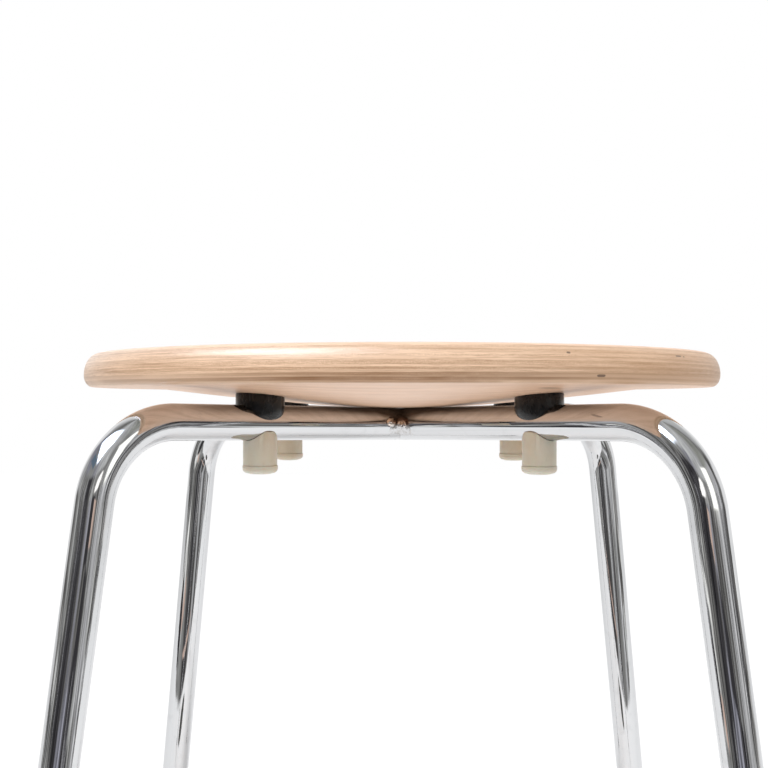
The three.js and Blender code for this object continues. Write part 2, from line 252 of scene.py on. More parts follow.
def dish_sink(radius):
    """How far the dish sinks below the flat rim"""
    seat = stool().seat
    sink = seat.dish_depth * (1 - (radius / seat.dish_radius) ** seat.dish_power)
    return (sink + math.hypot(sink, seat.dish_softness)) / 2


def underside(radius):
    """Height of the seat's underside, with its slight swelling over the crossing"""
    seat = stool().seat
    flat = seat.belly_radius * BELLY_FLAT_SHARE
    along = min(1.0, max(0.0, (seat.belly_radius - radius) / (seat.belly_radius - flat)))
    return rim_underside() - dish_sink(radius) - seat.belly * along ** 2 * (3 - 2 * along)


def middle_axis_height():
    """Height of the tubes' axes where they cross"""
    seat, tube = stool().seat, stool().tube
    return rim_underside() - seat.dish_depth - tube.seat_clearance - tube.diameter / 2


def axis_height(distance):
    """Height of a cross tube's axis at a distance from the middle"""
    tube = stool().tube
    return middle_axis_height() + tube.dip * distance / tube.corner_radius


# Meshes


def turned(point, azimuth):
    """A point turned about the stool's upright axis"""
    cosine, sine = math.cos(azimuth), math.sin(azimuth)
    x, y, z = point
    return (x * cosine - y * sine, x * sine + y * cosine, z)


def arc(centre, width, height, start, end, steps):
    """Points of an ellipse's arc in the plane of radius and height"""
    points = []
    for step in range(steps + 1):
        angle = start + (end - start) * step / steps
        points.append((centre[0] + width * math.cos(angle), centre[1] + height * math.sin(angle)))
    return points


def skin_faces(rings, loop):
    """Faces from ring to ring, and where each of their corners lies across the surface"""
    starts = []
    count = 0
    for ring in rings:
        starts.append(count)
        count += len(ring)
    lengths = [0.0]
    for ring, following in zip(rings, rings[1:] + rings[:1]):
        lengths.append(lengths[-1] + (Vector(following[0]) - Vector(ring[0])).length)
    sides = max(len(ring) for ring in rings)
    faces, places = [], []
    last = len(rings) if loop else len(rings) - 1
    for index in range(last):
        after = (index + 1) % len(rings)
        lower, upper = rings[index], rings[after]
        for side in range(sides):
            following = (side + 1) % sides
            corners = [
                (index, side, side, index),
                (index, following, side + 1, index),
                (after, following, side + 1, index + 1),
                (after, side, side, index + 1),
            ]
            if len(lower) == 1:
                corners = [(index, 0, side, index)] + corners[2:]
            elif len(upper) == 1:
                corners = corners[:2] + [(after, 0, side, index + 1)]
            faces.append([starts[ring] + place for ring, place, _, _ in corners])
            places.extend((across / sides, lengths[along]) for _, _, across, along in corners)
    return faces, places


def skin(name, rings, loop=False):
    """A mesh object through rings of points; a ring with one point closes an end"""
    faces, places = skin_faces(rings, loop)
    mesh = bpy.data.meshes.new(name)
    mesh.from_pydata([point for ring in rings for point in ring], [], faces)
    layer = mesh.uv_layers.new(name="UVMap")
    for place, corner in zip(places, layer.data):
        corner.uv = place
    mesh.polygons.foreach_set("use_smooth", [True] * len(mesh.polygons))
    mesh.set_sharp_from_angle(angle=SMOOTH_ANGLE)
    mesh.update()
    return add_object(name, mesh)


def add_object(name, data):
    """A new object in the scene"""
    made = bpy.data.objects.new(name, data)
    bpy.context.scene.collection.objects.link(made)
    return made


def store(piece, name, numbers):
    """Stores a number on each point of a mesh, for its material to read"""
    kept = piece.data.attributes.new(name, "FLOAT", "POINT")
    kept.data.foreach_set("value", numbers)


def circle(sides):
    """Angles round a circle"""
    return [2 * math.pi * side / sides for side in range(sides)]


def lathe_rings(outline, sides):
    """Rings of a body turned about the upright axis; a point on the axis makes a one-point ring"""
    rings = []
    for radius, height in outline:
        angles = circle(sides if radius else 1)
        rings.append([(radius * math.cos(a), radius * math.sin(a), height) for a in angles])
    return rings


def refinish(node, finish):
    """Gives a CAD node that stays in place its finish"""
    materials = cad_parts[node].data.materials
    materials.clear()
    materials.append(finish)


def place_piece(piece, node, finish):
    """Puts a finished piece in place of its CAD node"""
    piece.data.materials.append(finish)
    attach(piece, "root")
    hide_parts(node)
    return piece


# Node materials


class Recipe:
    """A node tree in the making"""

    def __init__(self, tree):
        self.tree = tree

    def node(self, kind, **settings):
        """A new node with its settings"""
        made = self.tree.nodes.new(kind)
        for name, value in settings.items():
            setattr(made, name, value)
        return made

    def feed(self, socket, value):
        """Links a socket to another, or sets its value"""
        if isinstance(value, bpy.types.NodeSocket):
            self.tree.links.new(value, socket)
        elif isinstance(value, int):
            socket.default_value = float(value)
        elif value is not None:
            socket.default_value = value

    def axes(self, vector):
        """A vector's three numbers"""
        apart = self.node("ShaderNodeSeparateXYZ")
        self.feed(apart.inputs["Vector"], vector)
        return apart.outputs

    def vector(self, x, y, z):
        """A vector from three numbers"""
        made = self.node("ShaderNodeCombineXYZ")
        for socket, value in zip(made.inputs, (x, y, z)):
            self.feed(socket, value)
        return made.outputs["Vector"]

    def apart(self):
        """The place on the object, along each axis"""
        return self.axes(self.place((1, 1, 1)))

    def place(self, scale, source="Object"):
        """The place on the object or across its surface, in metres, stretched along each axis"""
        made = self.node("ShaderNodeTexCoord")
        stretch = self.node("ShaderNodeMapping")
        self.feed(stretch.inputs["Vector"], made.outputs[source])
        self.feed(stretch.inputs["Scale"], scale)
        return stretch.outputs["Vector"]

    def noise(self, place, detail=2.0, roughness=0.5, distortion=0.0):
        """Cloudy noise from nought to one"""
        made = self.node("ShaderNodeTexNoise")
        self.feed(made.inputs["Vector"], place)
        self.feed(made.inputs["Scale"], 1.0)
        self.feed(made.inputs["Detail"], detail)
        self.feed(made.inputs["Roughness"], roughness)
        self.feed(made.inputs["Distortion"], distortion)
        return made.outputs["Fac"]

    def noises(self, table):
        """Noises by name, each stretched and detailed as a table says"""
        made = {}
        for name, settings in table.items():
            detailed = dict(settings)
            place = self.place(detailed.pop("stretch"), detailed.pop("source", "Object"))
            made[name] = self.noise(place, **detailed)
        return made

    def sum(self, operation, first, second=None, third=None, clamp=False):
        """One step of arithmetic"""
        made = self.node("ShaderNodeMath", operation=operation, use_clamp=clamp)
        for socket, value in zip(made.inputs, (first, second, third)):
            self.feed(socket, value)
        return made.outputs["Value"]

    def square(self, value):
        """A value times itself"""
        return self.sum("MULTIPLY", value, value)

    def share_of(self, value, middle, half):
        """How far a value is from a middle, with a half size as 1"""
        return self.sum("DIVIDE", self.sum("SUBTRACT", value, middle), half)

    def turn(self, x, y):
        """The turn of a place or direction from the camera's side to the right, in degrees"""
        return self.sum("DEGREES", self.sum("ARCTAN2", x, self.sum("MULTIPLY", y, -1.0)))

    def rise(self, z):
        """The height of a direction above the horizon, in degrees"""
        return self.sum("DEGREES", self.sum("ARCSINE", z))

    def grey(self, level):
        """A grey from one number"""
        return self.vector(level, level, level)

    def far_out(self):
        """How far a place on the object is from the upright axis"""
        made = self.node("ShaderNodeVectorMath", operation="LENGTH")
        self.feed(made.inputs[0], self.place((1, 1, 0)))
        return made.outputs["Value"]

    def between(self, value, low, high, to_low=0.0, to_high=1.0):
        """A value moved from one range to another, and held inside it"""
        made = self.node("ShaderNodeMapRange")
        for socket, number in zip(made.inputs, (value, low, high, to_low, to_high)):
            self.feed(socket, number)
        return made.outputs["Result"]

    def blend(self, amount, first, second, kind="MIX"):
        """Two colours blended"""
        made = self.node("ShaderNodeMix", data_type="RGBA", blend_type=kind)
        self.feed(made.inputs[0], amount)
        self.feed(made.inputs[6], first)
        self.feed(made.inputs[7], second)
        return made.outputs[2]

    def ramp(self, value, stops):
        """A colour for each value, from stops of place and colour"""
        made = self.node("ShaderNodeValToRGB")
        self.feed(made.inputs["Fac"], value)
        elements = made.color_ramp.elements
        for index, (where, rgb) in enumerate(stops):
            stop = elements[index] if index < 2 else elements.new(where)
            stop.position = where
            stop.color = opaque(rgb)
        return made.outputs["Color"]


class Finish(Recipe):
    """A node material in the making"""

    def __init__(self, name, **sockets):
        self.material = bpy.data.materials.new(name)
        self.material.use_nodes = True
        super().__init__(self.material.node_tree)
        self.shader = self.tree.nodes["Principled BSDF"]
        for socket, value in sockets.items():
            self.shader.inputs[socket.replace("_", " ")].default_value = value

    def attribute(self, name):
        """A number stored on the mesh's points"""
        return self.node("ShaderNodeAttribute", attribute_name=name).outputs["Fac"]

    def lift(self):
        """How far a place is above the tubes' axes where they cross"""
        return self.sum("SUBTRACT", self.apart()["Z"], middle_axis_height())

    def bump(self, height, strength, distance, normal=None):
        """A bumped normal"""
        made = self.node("ShaderNodeBump")
        self.feed(made.inputs["Strength"], strength)
        self.feed(made.inputs["Distance"], distance)
        self.feed(made.inputs["Height"], height)
        self.feed(made.inputs["Normal"], normal)
        return made.outputs["Normal"]

    def bumps(self, heights, table):
        """A normal with one bump after another, each as strong and deep as a table says"""
        normal = None
        for name, strength, distance in table:
            normal = self.bump(heights[name], strength, distance, normal)
        return normal

    def shade(self, kind, rgb):
        """A shader with its colour"""
        made = self.node(kind)
        self.feed(made.inputs["Color"], rgb)
        return made.outputs[0]

    def show(self, amount, first, second):
        """Shows a mix of two shaders in place of the usual one"""
        mixed = self.node("ShaderNodeMixShader")
        for socket, value in zip(mixed.inputs, (amount, first, second)):
            self.feed(socket, value)
        self.feed(self.tree.nodes["Material Output"].inputs["Surface"], mixed.outputs[0])
        self.tree.nodes.remove(self.shader)
        return self.material

    def use(self, **sockets):
        """Links the shader's sockets"""
        for socket, value in sockets.items():
            self.feed(self.shader.inputs[socket.replace("_", " ")], value)
        return self.material


def opaque(rgb):
    """A colour with its alpha"""
    return (*rgb, 1.0)


def times(rgb, share):
    """A colour made darker or paler by a share"""
    return [part * share for part in rgb]


# Plywood. A depth is a share of the seat's thickness from its top face down, and a turn is in
# degrees from the camera's side to the right. A span is a range of a noise, a depth or a turn,
# then what it gives at either end.

# Where each ply starts, and how pale it is
PLY_LAYERS = (
    (0.000, 0.90), (0.085, 0.84), (0.130, 0.70), (0.168, 0.98), (0.205, 0.80), (0.297, 0.95),
    (0.338, 0.76), (0.440, 0.78), (0.550, 0.82), (0.605, 0.62), (0.670, 0.78), (0.737, 0.14),
    (0.805, 0.42), (0.843, -0.22), (0.930, 0.28), (0.985, 0.70),
)
# Share of a ply over which its tone passes into the next
PLY_EDGE_SHARE = 0.12
# Half the step in depth from ply to ply where they are counted
PLY_STEP = 0.001
# Noises in the wood: repeats in a metre along X, Y and Z, and how they are detailed
WOOD_NOISES = {
    "drift": {"stretch": (9, 9, 9), "detail": 2},
    "streaks": {"stretch": (24, 24, 1500), "detail": 7, "roughness": 0.66},
    "fine": {"stretch": (160, 160, 3600), "detail": 3, "roughness": 0.6},
    "pores": {"stretch": (2600, 2600, 2600), "detail": 2, "roughness": 0.7},
    "bend": {"stretch": (3.5, 14, 3.5), "detail": 2},
    "flecks": {"stretch": (60, 1900, 900), "detail": 3, "roughness": 0.6},
}
# The slow change of tone along a ply: repeats in a metre, and the step from ply to ply
WANDER_STRETCH = 14.0
WANDER_STEP = 3.7
WANDER_NOISE = {"detail": 3, "roughness": 0.6}
# The face's figure: its stretch and detail
FIGURE_STRETCH = (7, 210, 60)
FIGURE_NOISE = {"detail": 6, "roughness": 0.58, "distortion": 0.4}
# What shades the edge, in turn: a noise, its span and the ply's tone that it gives
EDGE_GRAIN = (
    ("wander", (0.46, 0.70, 0.0, 0.32), "dark_ply"),
    ("wander", (0.34, 0.46, 0.5, 0.0), "pale_ply"),
    ("streaks", (0.47, 0.68, 0.0, 0.50), "dark_ply"),
    ("streaks", (0.32, 0.46, 0.4, 0.0), "pale_ply"),
    ("fine", (0.48, 0.66, 0.0, 0.34), "dark_ply"),
)
WOOD_SPANS = {
    "sway": (0.3, 0.7, -0.010, 0.010),
    "end_pores": (0.40, 0.62, 0.0, 0.46),
    "glue_line": (0.42, 0.5, 0.0, 0.40),
    "glue_gaps": (0.3, 0.6, 0.0, 1.0),
    "paling_depth": (0.70, 0.76, 0.0, 1.0),
    "paling_turn": (8.0, 32.0, 0.0, 0.42),
    "right_shade_turn": (18.0, 52.0, 0.0, 0.45),
    "pair_turn": (6.0, 22.0, 0.15, 1.0),
    "pair_wander": (0.36, 0.60, 1.0, 0.35),
    "pair_dark": (-1.0, 0.0, 0.20, 0.0),
    "pair_pale": (0.0, 1.0, 0.0, 0.32),
    "band_top": (0.846, 0.847, 0.0, 1.0),
    "band_bottom": (0.929, 0.930, 1.0, 0.0),
    "band_turn": (12.0, 30.0, 0.34, 0.0),
    "figure_bend": (0.0, 1.0, 0.0, 3.0),
    "figure_dark": (0.40, 0.66, 0.0, 0.24),
    "fleck_dark": (0.56, 0.72, 0.0, 0.3),
    "top_veneer": (0.05, 0.06, 1.0, 0.0),
    "bottom_veneer": (0.990, 0.998, 0.0, 1.0),
    "mottle": (0.4, 0.7, 0.0, 0.16),
    "ragged": (0.3, 0.7, 0.75, 1.25),
    "in_gap": (0.6, 1.2, 0.75, 0.0),
    "in_under_line": (0.4, 1.2, 0.6, 0.0),
    "fine_sheen": (0.3, 0.7, 0.34, 0.48),
    "figure_sheen": (0.3, 0.7, -0.03, 0.05),
    "lacquer_depth": (0.30, 0.55, 1.0, 0.35),
    "lacquer_turn": (15.0, 55.0, 1.0, 0.30),
}
# Bumps: a noise, its strength and its depth in metres
WOOD_BUMPS = (("relief", 0.12, 0.0004), ("fine", 0.08, 0.0002))
# Pairs of plies, one dark and one pale: their depth together, and where the first is palest
PAIR_DEPTH = 0.130
PAIR_START = 0.140
PAIR_TONE = (0.98, 0.74, 0.54)
# The darker, warmer tone painted on the edge to the right as shade, where less light falls, how dark the
# glue is next to the dark plies, and the inside of a gap
RIGHT_SHADE_PLY = (0.68, 0.385, 0.195)
GLUE_SHADE = 0.7
GAP_TONE = (0.09, 0.05, 0.035)
# Gaps and nicks in the edge: turn, depth, half width in degrees and half height in depth
EDGE_GAPS = (
    (25.2, 0.240, 0.34, 0.026),
    (49.2, 0.235, 0.90, 0.020),
    (50.9, 0.245, 0.25, 0.016),
    (30.7, 0.800, 0.80, 0.034),
)
# A dark line in the underside where the dish begins: turn, radius, half width in degrees, half the
# breadth, and colour
UNDER_LINE_TURN = 34.0
UNDER_LINE_RADIUS = 0.1290
UNDER_LINE_HALF_TURN = 3.6
UNDER_LINE_HALF_BREADTH = 0.0020
UNDER_LINE_TONE = (0.16, 0.08, 0.045)


def ply_ramps(wood, depth):
    """The plies by depth: their tones, their numbers, and the place within each"""
    seat = stool().seat
    count = len(PLY_LAYERS)
    ends = [start for start, tone in PLY_LAYERS[1:]] + [1.0]
    tone_stops, number_stops, within_stops = [], [], []
    for index, ((start, tone), end) in enumerate(zip(PLY_LAYERS, ends)):
        soft = (end - start) * PLY_EDGE_SHARE
        rgb = [dark + (pale - dark) * tone for pale, dark in zip(seat.pale_ply, seat.dark_ply)]
        tone_stops += [(start + soft, rgb), (end - soft, rgb)]
        first, last = start + PLY_STEP, end - PLY_STEP
        number_stops += [(first, [index / count] * 3), (last, [index / count] * 3)]
        within_stops += [(first, [0.0] * 3), (last, [1.0] * 3)]
    number = wood.sum("ROUND", wood.sum("MULTIPLY", wood.ramp(depth, number_stops), float(count)))
    return wood.ramp(depth, tone_stops), number, wood.ramp(depth, within_stops)


def end_grain(wood, number, x, pores):
    """How much end grain shows: each ply lies along or across the one above it"""
    across = wood.square(wood.sum("DIVIDE", x, stool().seat.diameter / 2))
    along = wood.sum("SUBTRACT", 1.0, across, clamp=True)
    odd = wood.sum("MODULO", number, 2.0)
    even = wood.sum("SUBTRACT", 1.0, odd)
    ends = wood.sum("ADD", wood.sum("MULTIPLY", odd, along), wood.sum("MULTIPLY", even, across))
    return wood.sum("MULTIPLY", ends, wood.between(pores, *WOOD_SPANS["end_pores"]))


def grained_edge(wood, noises, swayed):
    """The seat's edge: plies along and across, with streaks, end grain and glue lines"""
    seat = stool().seat
    dark = opaque(seat.dark_ply)
    apart = wood.apart()
    tones, number, within = ply_ramps(wood, swayed)
    spread = wood.vector(
        wood.sum("MULTIPLY", apart["X"], WANDER_STRETCH),
        wood.sum("MULTIPLY", apart["Y"], WANDER_STRETCH), wood.sum("MULTIPLY", number, WANDER_STEP))
    noises["wander"] = wood.noise(spread, **WANDER_NOISE)
    edge = tones
    for name, span, tone in EDGE_GRAIN:
        edge = wood.blend(wood.between(noises[name], *span), edge, opaque(getattr(seat, tone)))
    edge = wood.blend(end_grain(wood, number, apart["X"], noises["pores"]), edge, dark)
    line = wood.sum("ABSOLUTE", wood.sum("SUBTRACT", within, 0.5))
    glue = wood.sum("MULTIPLY", wood.between(line, *WOOD_SPANS["glue_line"]),
                    wood.between(noises["wander"], *WOOD_SPANS["glue_gaps"]))
    return wood.blend(glue, edge, opaque(times(seat.dark_ply, GLUE_SHADE)))


def edge_colour(wood, noises, depth, swayed, turn):
    """The edge as it changes round the seat: paler below at the sides, with pairs of plies, painted
    shade that makes it darker and warmer to the right, and a darker band in the middle"""
    seat = stool().seat
    edge = grained_edge(wood, noises, swayed)
    aside = wood.sum("ABSOLUTE", turn)
    paling = wood.sum("MULTIPLY", wood.between(depth, *WOOD_SPANS["paling_depth"]),
                      wood.between(aside, *WOOD_SPANS["paling_turn"]))
    edge = wood.blend(paling, edge, opaque(seat.pale_ply))
    # Painted shade: darker and warmer to the right, where less light falls
    edge = wood.blend(wood.between(turn, *WOOD_SPANS["right_shade_turn"]), edge, opaque(RIGHT_SHADE_PLY))
    phase = wood.sum("MULTIPLY", wood.sum("SUBTRACT", swayed, PAIR_START), math.tau / PAIR_DEPTH)
    wave = wood.sum("COSINE", phase)
    shown = wood.sum("MULTIPLY", wood.between(turn, *WOOD_SPANS["pair_turn"]),
                     wood.between(noises["wander"], *WOOD_SPANS["pair_wander"]))
    for span, rgb in (("pair_dark", seat.dark_ply), ("pair_pale", PAIR_TONE)):
        amount = wood.sum("MULTIPLY", wood.between(wave, *WOOD_SPANS[span]), shown)
        edge = wood.blend(amount, edge, opaque(rgb))
    band = wood.sum("MULTIPLY", wood.between(swayed, *WOOD_SPANS["band_top"]),
                    wood.between(swayed, *WOOD_SPANS["band_bottom"]))
    band = wood.sum("MULTIPLY", band, wood.between(aside, *WOOD_SPANS["band_turn"]))
    return wood.blend(band, edge, opaque(seat.dark_ply))


def face_colour(wood, noises):
    """The face veneers, with their figure and flecks"""
    seat = stool().seat
    moved = wood.node("ShaderNodeVectorMath", operation="ADD")
    wood.feed(moved.inputs[0], wood.place(FIGURE_STRETCH))
    wood.feed(moved.inputs[1], wood.between(noises["bend"], *WOOD_SPANS["figure_bend"]))
    noises["figure"] = wood.noise(moved.outputs["Vector"], **FIGURE_NOISE)
    dark = opaque(seat.dark_ply)
    face = wood.blend(
        wood.between(noises["figure"], *WOOD_SPANS["figure_dark"]), opaque(seat.veneer), dark)
    return wood.blend(wood.between(noises["flecks"], *WOOD_SPANS["fleck_dark"]), face, dark)


def with_gaps(wood, noises, depth, turn, bottom_veneer, base):
    """A colour with the gaps in the edge and the dark line in the underside"""
    ragged = wood.between(noises["pores"], *WOOD_SPANS["ragged"])
    for turn_at, depth_at, half_turn, half_depth in EDGE_GAPS:
        sideways = wood.sum("ABSOLUTE", wood.share_of(turn, turn_at, half_turn))
        down = wood.share_of(depth, depth_at, half_depth)
        far = wood.sum("ADD", wood.sum("POWER", sideways, 4.0), wood.square(down))
        inside = wood.between(wood.sum("MULTIPLY", far, ragged), *WOOD_SPANS["in_gap"])
        base = wood.blend(inside, base, opaque(GAP_TONE))
    sideways = wood.share_of(turn, UNDER_LINE_TURN, UNDER_LINE_HALF_TURN)
    outwards = wood.share_of(wood.far_out(), UNDER_LINE_RADIUS, UNDER_LINE_HALF_BREADTH)
    far = wood.sum("ADD", wood.square(sideways), wood.square(outwards))
    inside = wood.between(wood.sum("MULTIPLY", far, ragged), *WOOD_SPANS["in_under_line"])
    return wood.blend(wood.sum("MULTIPLY", inside, bottom_veneer), base, opaque(UNDER_LINE_TONE))


def plywood_finish():
    """Lacquered plywood: face veneers, an edge of plies, and gaps in them"""
    wood = Finish("Lacquered plywood", IOR=1.5, Specular_IOR_Level=0.3, Coat_IOR=1.5,
                  Coat_Roughness=0.35)
    noises = wood.noises(WOOD_NOISES)
    depth = wood.attribute("ply_depth")
    swayed = wood.sum("ADD", depth, wood.between(noises["drift"], *WOOD_SPANS["sway"]))
    apart = wood.apart()
    turn = wood.turn(apart["X"], apart["Y"])
    edge = edge_colour(wood, noises, depth, swayed, turn)
    face = face_colour(wood, noises)
    bottom_veneer = wood.between(depth, *WOOD_SPANS["bottom_veneer"])
    on_face = wood.sum("MAXIMUM", wood.between(swayed, *WOOD_SPANS["top_veneer"]), bottom_veneer)
    base = wood.blend(on_face, edge, face)
    mottle = wood.sum("MULTIPLY", on_face, wood.between(noises["drift"], *WOOD_SPANS["mottle"]))
    base = wood.blend(mottle, base, opaque(stool().seat.pale_ply))
    base = with_gaps(wood, noises, depth, turn, bottom_veneer, base)
    sheen = wood.sum("ADD", wood.between(noises["fine"], *WOOD_SPANS["fine_sheen"]),
                     wood.between(noises["figure"], *WOOD_SPANS["figure_sheen"]))
    noises["relief"] = wood.blend(on_face, noises["streaks"], noises["figure"])
    lacquer = wood.sum("MULTIPLY", wood.between(depth, *WOOD_SPANS["lacquer_depth"]),
                       wood.between(turn, *WOOD_SPANS["lacquer_turn"]))
    return wood.use(Base_Color=base, Roughness=sheen, Coat_Weight=lacquer,
                    Normal=wood.bumps(noises, WOOD_BUMPS))


# Chrome plate: its noises, its spans of noises and of distances and heights in metres, and its
# bumps
CHROME_NOISES = {
    "waves": {"stretch": (48, 48, 48), "detail": 1, "roughness": 0.4},
    "drawn": {"stretch": (70, 5, 1), "detail": 3, "roughness": 0.6, "source": "UV"},
    "polish": {"stretch": (420, 16, 1), "detail": 3, "roughness": 0.6, "source": "UV"},
    "haze": {"stretch": (120, 120, 120), "detail": 5, "roughness": 0.65},
    "ripples": {"stretch": (560, 560, 420), "detail": 3, "roughness": 0.6},
}
CHROME_SPANS = {
    "by_weld": (0.014, 0.024, 1.0, 0.0),
    "ground": (0.42, 0.56, 0.0, 1.0),
    "haze_roughness": (0.35, 0.75, 0.012, 0.045),
    "polish_roughness": (0.55, 0.75, 0.0, 0.03),
    "haze_worn": (0.55, 0.8, 0.0, 1.0),
    "drawn_worn": (0.56, 0.7, 0.0, 0.6),
    "past_border": (-0.0008, 0.0022, 0.0, 0.88),
    "upper_side": (0.0030, 0.0086, 0.0, 0.62),
    "upper_side_ends": (0.132, 0.152, 1.0, 0.0),
}
CHROME_BUMPS = (("waves", 0.025, 0.002), ("drawn", 0.07, 0.0003), ("polish", 0.02, 0.0002))
# Ground spots by the welds: added roughness, and the strength and depth of their ripples
GROUND_ROUGHNESS = 0.10
GROUND_BUMP = 0.35
GROUND_DEPTH = 0.0006
# Worn plate next to new plate, and the dark tone of painted shade on the crossing's upper corners and on
# the tubes' upper sides: the plate's reflection of the seat's unlit underside, painted in
WORN_SHADE = 0.88
SHADE_PAINTED_TONE = (0.10, 0.075, 0.055)
# Where the painted shade on the corners begins: two lines, the lower of which is the border, each by its
# slope outwards and its height above the tubes' axes in the middle
SHADE_PAINTED_BORDERS = ((0.26, -0.0016), (0.085, 0.0027))


def chrome_finish():
    """Chrome plate over drawn tube: draw lines and slight waves, ground spots by the welds, and painted
    shade where it lies under the seat, a dark reflection of the seat's unlit underside"""
    tube = stool().tube
    plate = Finish("Chrome plate", Metallic=1.0)
    noises = plate.noises(CHROME_NOISES)
    haze = noises["haze"]
    far = plate.far_out()
    ground = plate.sum("MULTIPLY", plate.between(far, *CHROME_SPANS["by_weld"]),
                       plate.between(haze, *CHROME_SPANS["ground"]))
    roughness = plate.sum("ADD", plate.between(haze, *CHROME_SPANS["haze_roughness"]),
                          plate.between(noises["polish"], *CHROME_SPANS["polish_roughness"]))
    roughness = plate.sum("MULTIPLY_ADD", ground, GROUND_ROUGHNESS, roughness)
    worn = opaque(times(tube.chrome, WORN_SHADE))
    base = plate.blend(plate.between(haze, *CHROME_SPANS["haze_worn"]), opaque(tube.chrome), worn)
    base = plate.blend(plate.between(noises["drawn"], *CHROME_SPANS["drawn_worn"]), base, worn)
    lift = plate.lift()
    # Painted shade: the crossing's upper corners turn dark above a border, and the tubes' upper sides
    # darken towards the seat
    border = plate.sum("MINIMUM", *(plate.sum("MULTIPLY_ADD", far, *line) for line in SHADE_PAINTED_BORDERS))
    painted_shade = plate.between(plate.sum("SUBTRACT", lift, border), *CHROME_SPANS["past_border"])
    base = plate.blend(painted_shade, base, opaque(SHADE_PAINTED_TONE))
    rise = plate.sum("MULTIPLY", far, tube.dip / tube.corner_radius)
    upper_side = plate.between(plate.sum("SUBTRACT", lift, rise), *CHROME_SPANS["upper_side"])
    ends = plate.between(far, *CHROME_SPANS["upper_side_ends"])
    upper_side = plate.sum("MULTIPLY", upper_side, ends)
    base = plate.blend(upper_side, base, opaque(SHADE_PAINTED_TONE))
    ripple_strength = plate.sum("MULTIPLY", ground, GROUND_BUMP)
    normal = plate.bumps(noises, CHROME_BUMPS)
    normal = plate.bump(noises["ripples"], ripple_strength, GROUND_DEPTH, normal)
    return plate.use(Base_Color=base, Roughness=roughness, Normal=normal)


# Weld metal: its noises, spans of noises and of heights above the tubes' axes, bumps and tones
WELD_NOISES = {
    "blotch": {"stretch": (650, 650, 650), "detail": 4, "roughness": 0.6},
    "scale": {"stretch": (2200, 2200, 2200), "detail": 4, "roughness": 0.65},
}
WELD_SPANS = {
    "blotched": (0.45, 0.7, 0.0, 1.0),
    "scaled": (0.48, 0.64, 0.0, 1.0),
    "stained": (-0.0014, 0.0002, 0.0, 1.0),
    "off_drops": (0.02, 0.22, 1.0, 0.0),
    "off_drops_from": (-0.0010, 0.0004, 0.0, 1.0),
    "painted_shade_top": (0.0026, 0.0038, 0.0, 1.0),
    "roughness": (0.35, 0.7, 0.12, 0.30),
}
WELD_BUMPS = (("blotch", 0.35, 0.0006), ("scale", 0.25, 0.0002))
# Tones: bright and blotched plate below; above the middle a pale tan stain mottled with dark brown
# scale, partly the weld's own colour and partly painted shade under the seat; dark brown painted shade
# between the drops; and near-black painted shade at the top, under the seat
BRIGHT_METAL = (0.66, 0.66, 0.67)
BLOTCHED_METAL = (0.50, 0.48, 0.46)
STAINED_METAL = (0.95, 0.84, 0.75)
SCALED_METAL = (0.44, 0.31, 0.23)
SHADED_BROWN_METAL = (0.20, 0.13, 0.10)
SHADE_PAINTED_METAL = (0.12, 0.09, 0.07)


def weld_finish():
    """Plated weld metal: bright below, stained above with dark scale, with brown painted shade between
    its drops and darker painted shade at its top under the seat, and rippled
    """
    metal = Finish("Plated weld", Metallic=1.0)
    noises = metal.noises(WELD_NOISES)
    base = metal.blend(metal.between(noises["blotch"], *WELD_SPANS["blotched"]),
                       opaque(BRIGHT_METAL), opaque(BLOTCHED_METAL))
    stained = metal.blend(metal.between(noises["scale"], *WELD_SPANS["scaled"]),
                          opaque(STAINED_METAL), opaque(SCALED_METAL))
    lift = metal.lift()
    base = metal.blend(metal.between(lift, *WELD_SPANS["stained"]), base, stained)
    beside = metal.sum("MULTIPLY", metal.between(metal.attribute("on_drop"), *WELD_SPANS["off_drops"]),
                       metal.between(lift, *WELD_SPANS["off_drops_from"]))
    # Painted shade: brown between the drops and near-black at the top, where the weld lies under the
    # seat
    base = metal.blend(beside, base, opaque(SHADED_BROWN_METAL))
    base = metal.blend(metal.between(lift, *WELD_SPANS["painted_shade_top"]), base, opaque(SHADE_PAINTED_METAL))
    roughness = metal.between(noises["scale"], *WELD_SPANS["roughness"])
    return metal.use(Base_Color=base, Roughness=roughness, Normal=metal.bumps(noises, WELD_BUMPS))


# Moulded plastic: its noises, spans, bumps, and the tones beside its own colour
PLASTIC_NOISES = {
    "flow": {"stretch": (160, 160, 60), "detail": 3, "roughness": 0.55, "distortion": 0.6},
    "grain": {"stretch": (3200, 3200, 3200), "detail": 2, "roughness": 0.6},
    "rubs": {"stretch": (420, 420, 420), "detail": 6, "roughness": 0.75},
}
PLASTIC_SPANS = {
    "flow_pale": (0.35, 0.7, 0.0, 0.5),
    "rubbed": (0.68, 0.78, 0.0, 0.35),
    "flow_range": (0.3, 0.7),
    "rub_roughness": (0.6, 0.8, 0.0, 0.15),
}
PLASTIC_BUMPS = (("grain", 0.08, 0.0002), ("flow", 0.05, 0.0006))
FLOW_GAIN = 1.35
FLOW_LIFT = 0.02
RUBBED_TONE = (0.28, 0.27, 0.25)
# Least and greatest roughness of the spacers and of the glides
SPACER_ROUGHNESS = (0.20, 0.34)
GLIDE_ROUGHNESS = (0.42, 0.55)


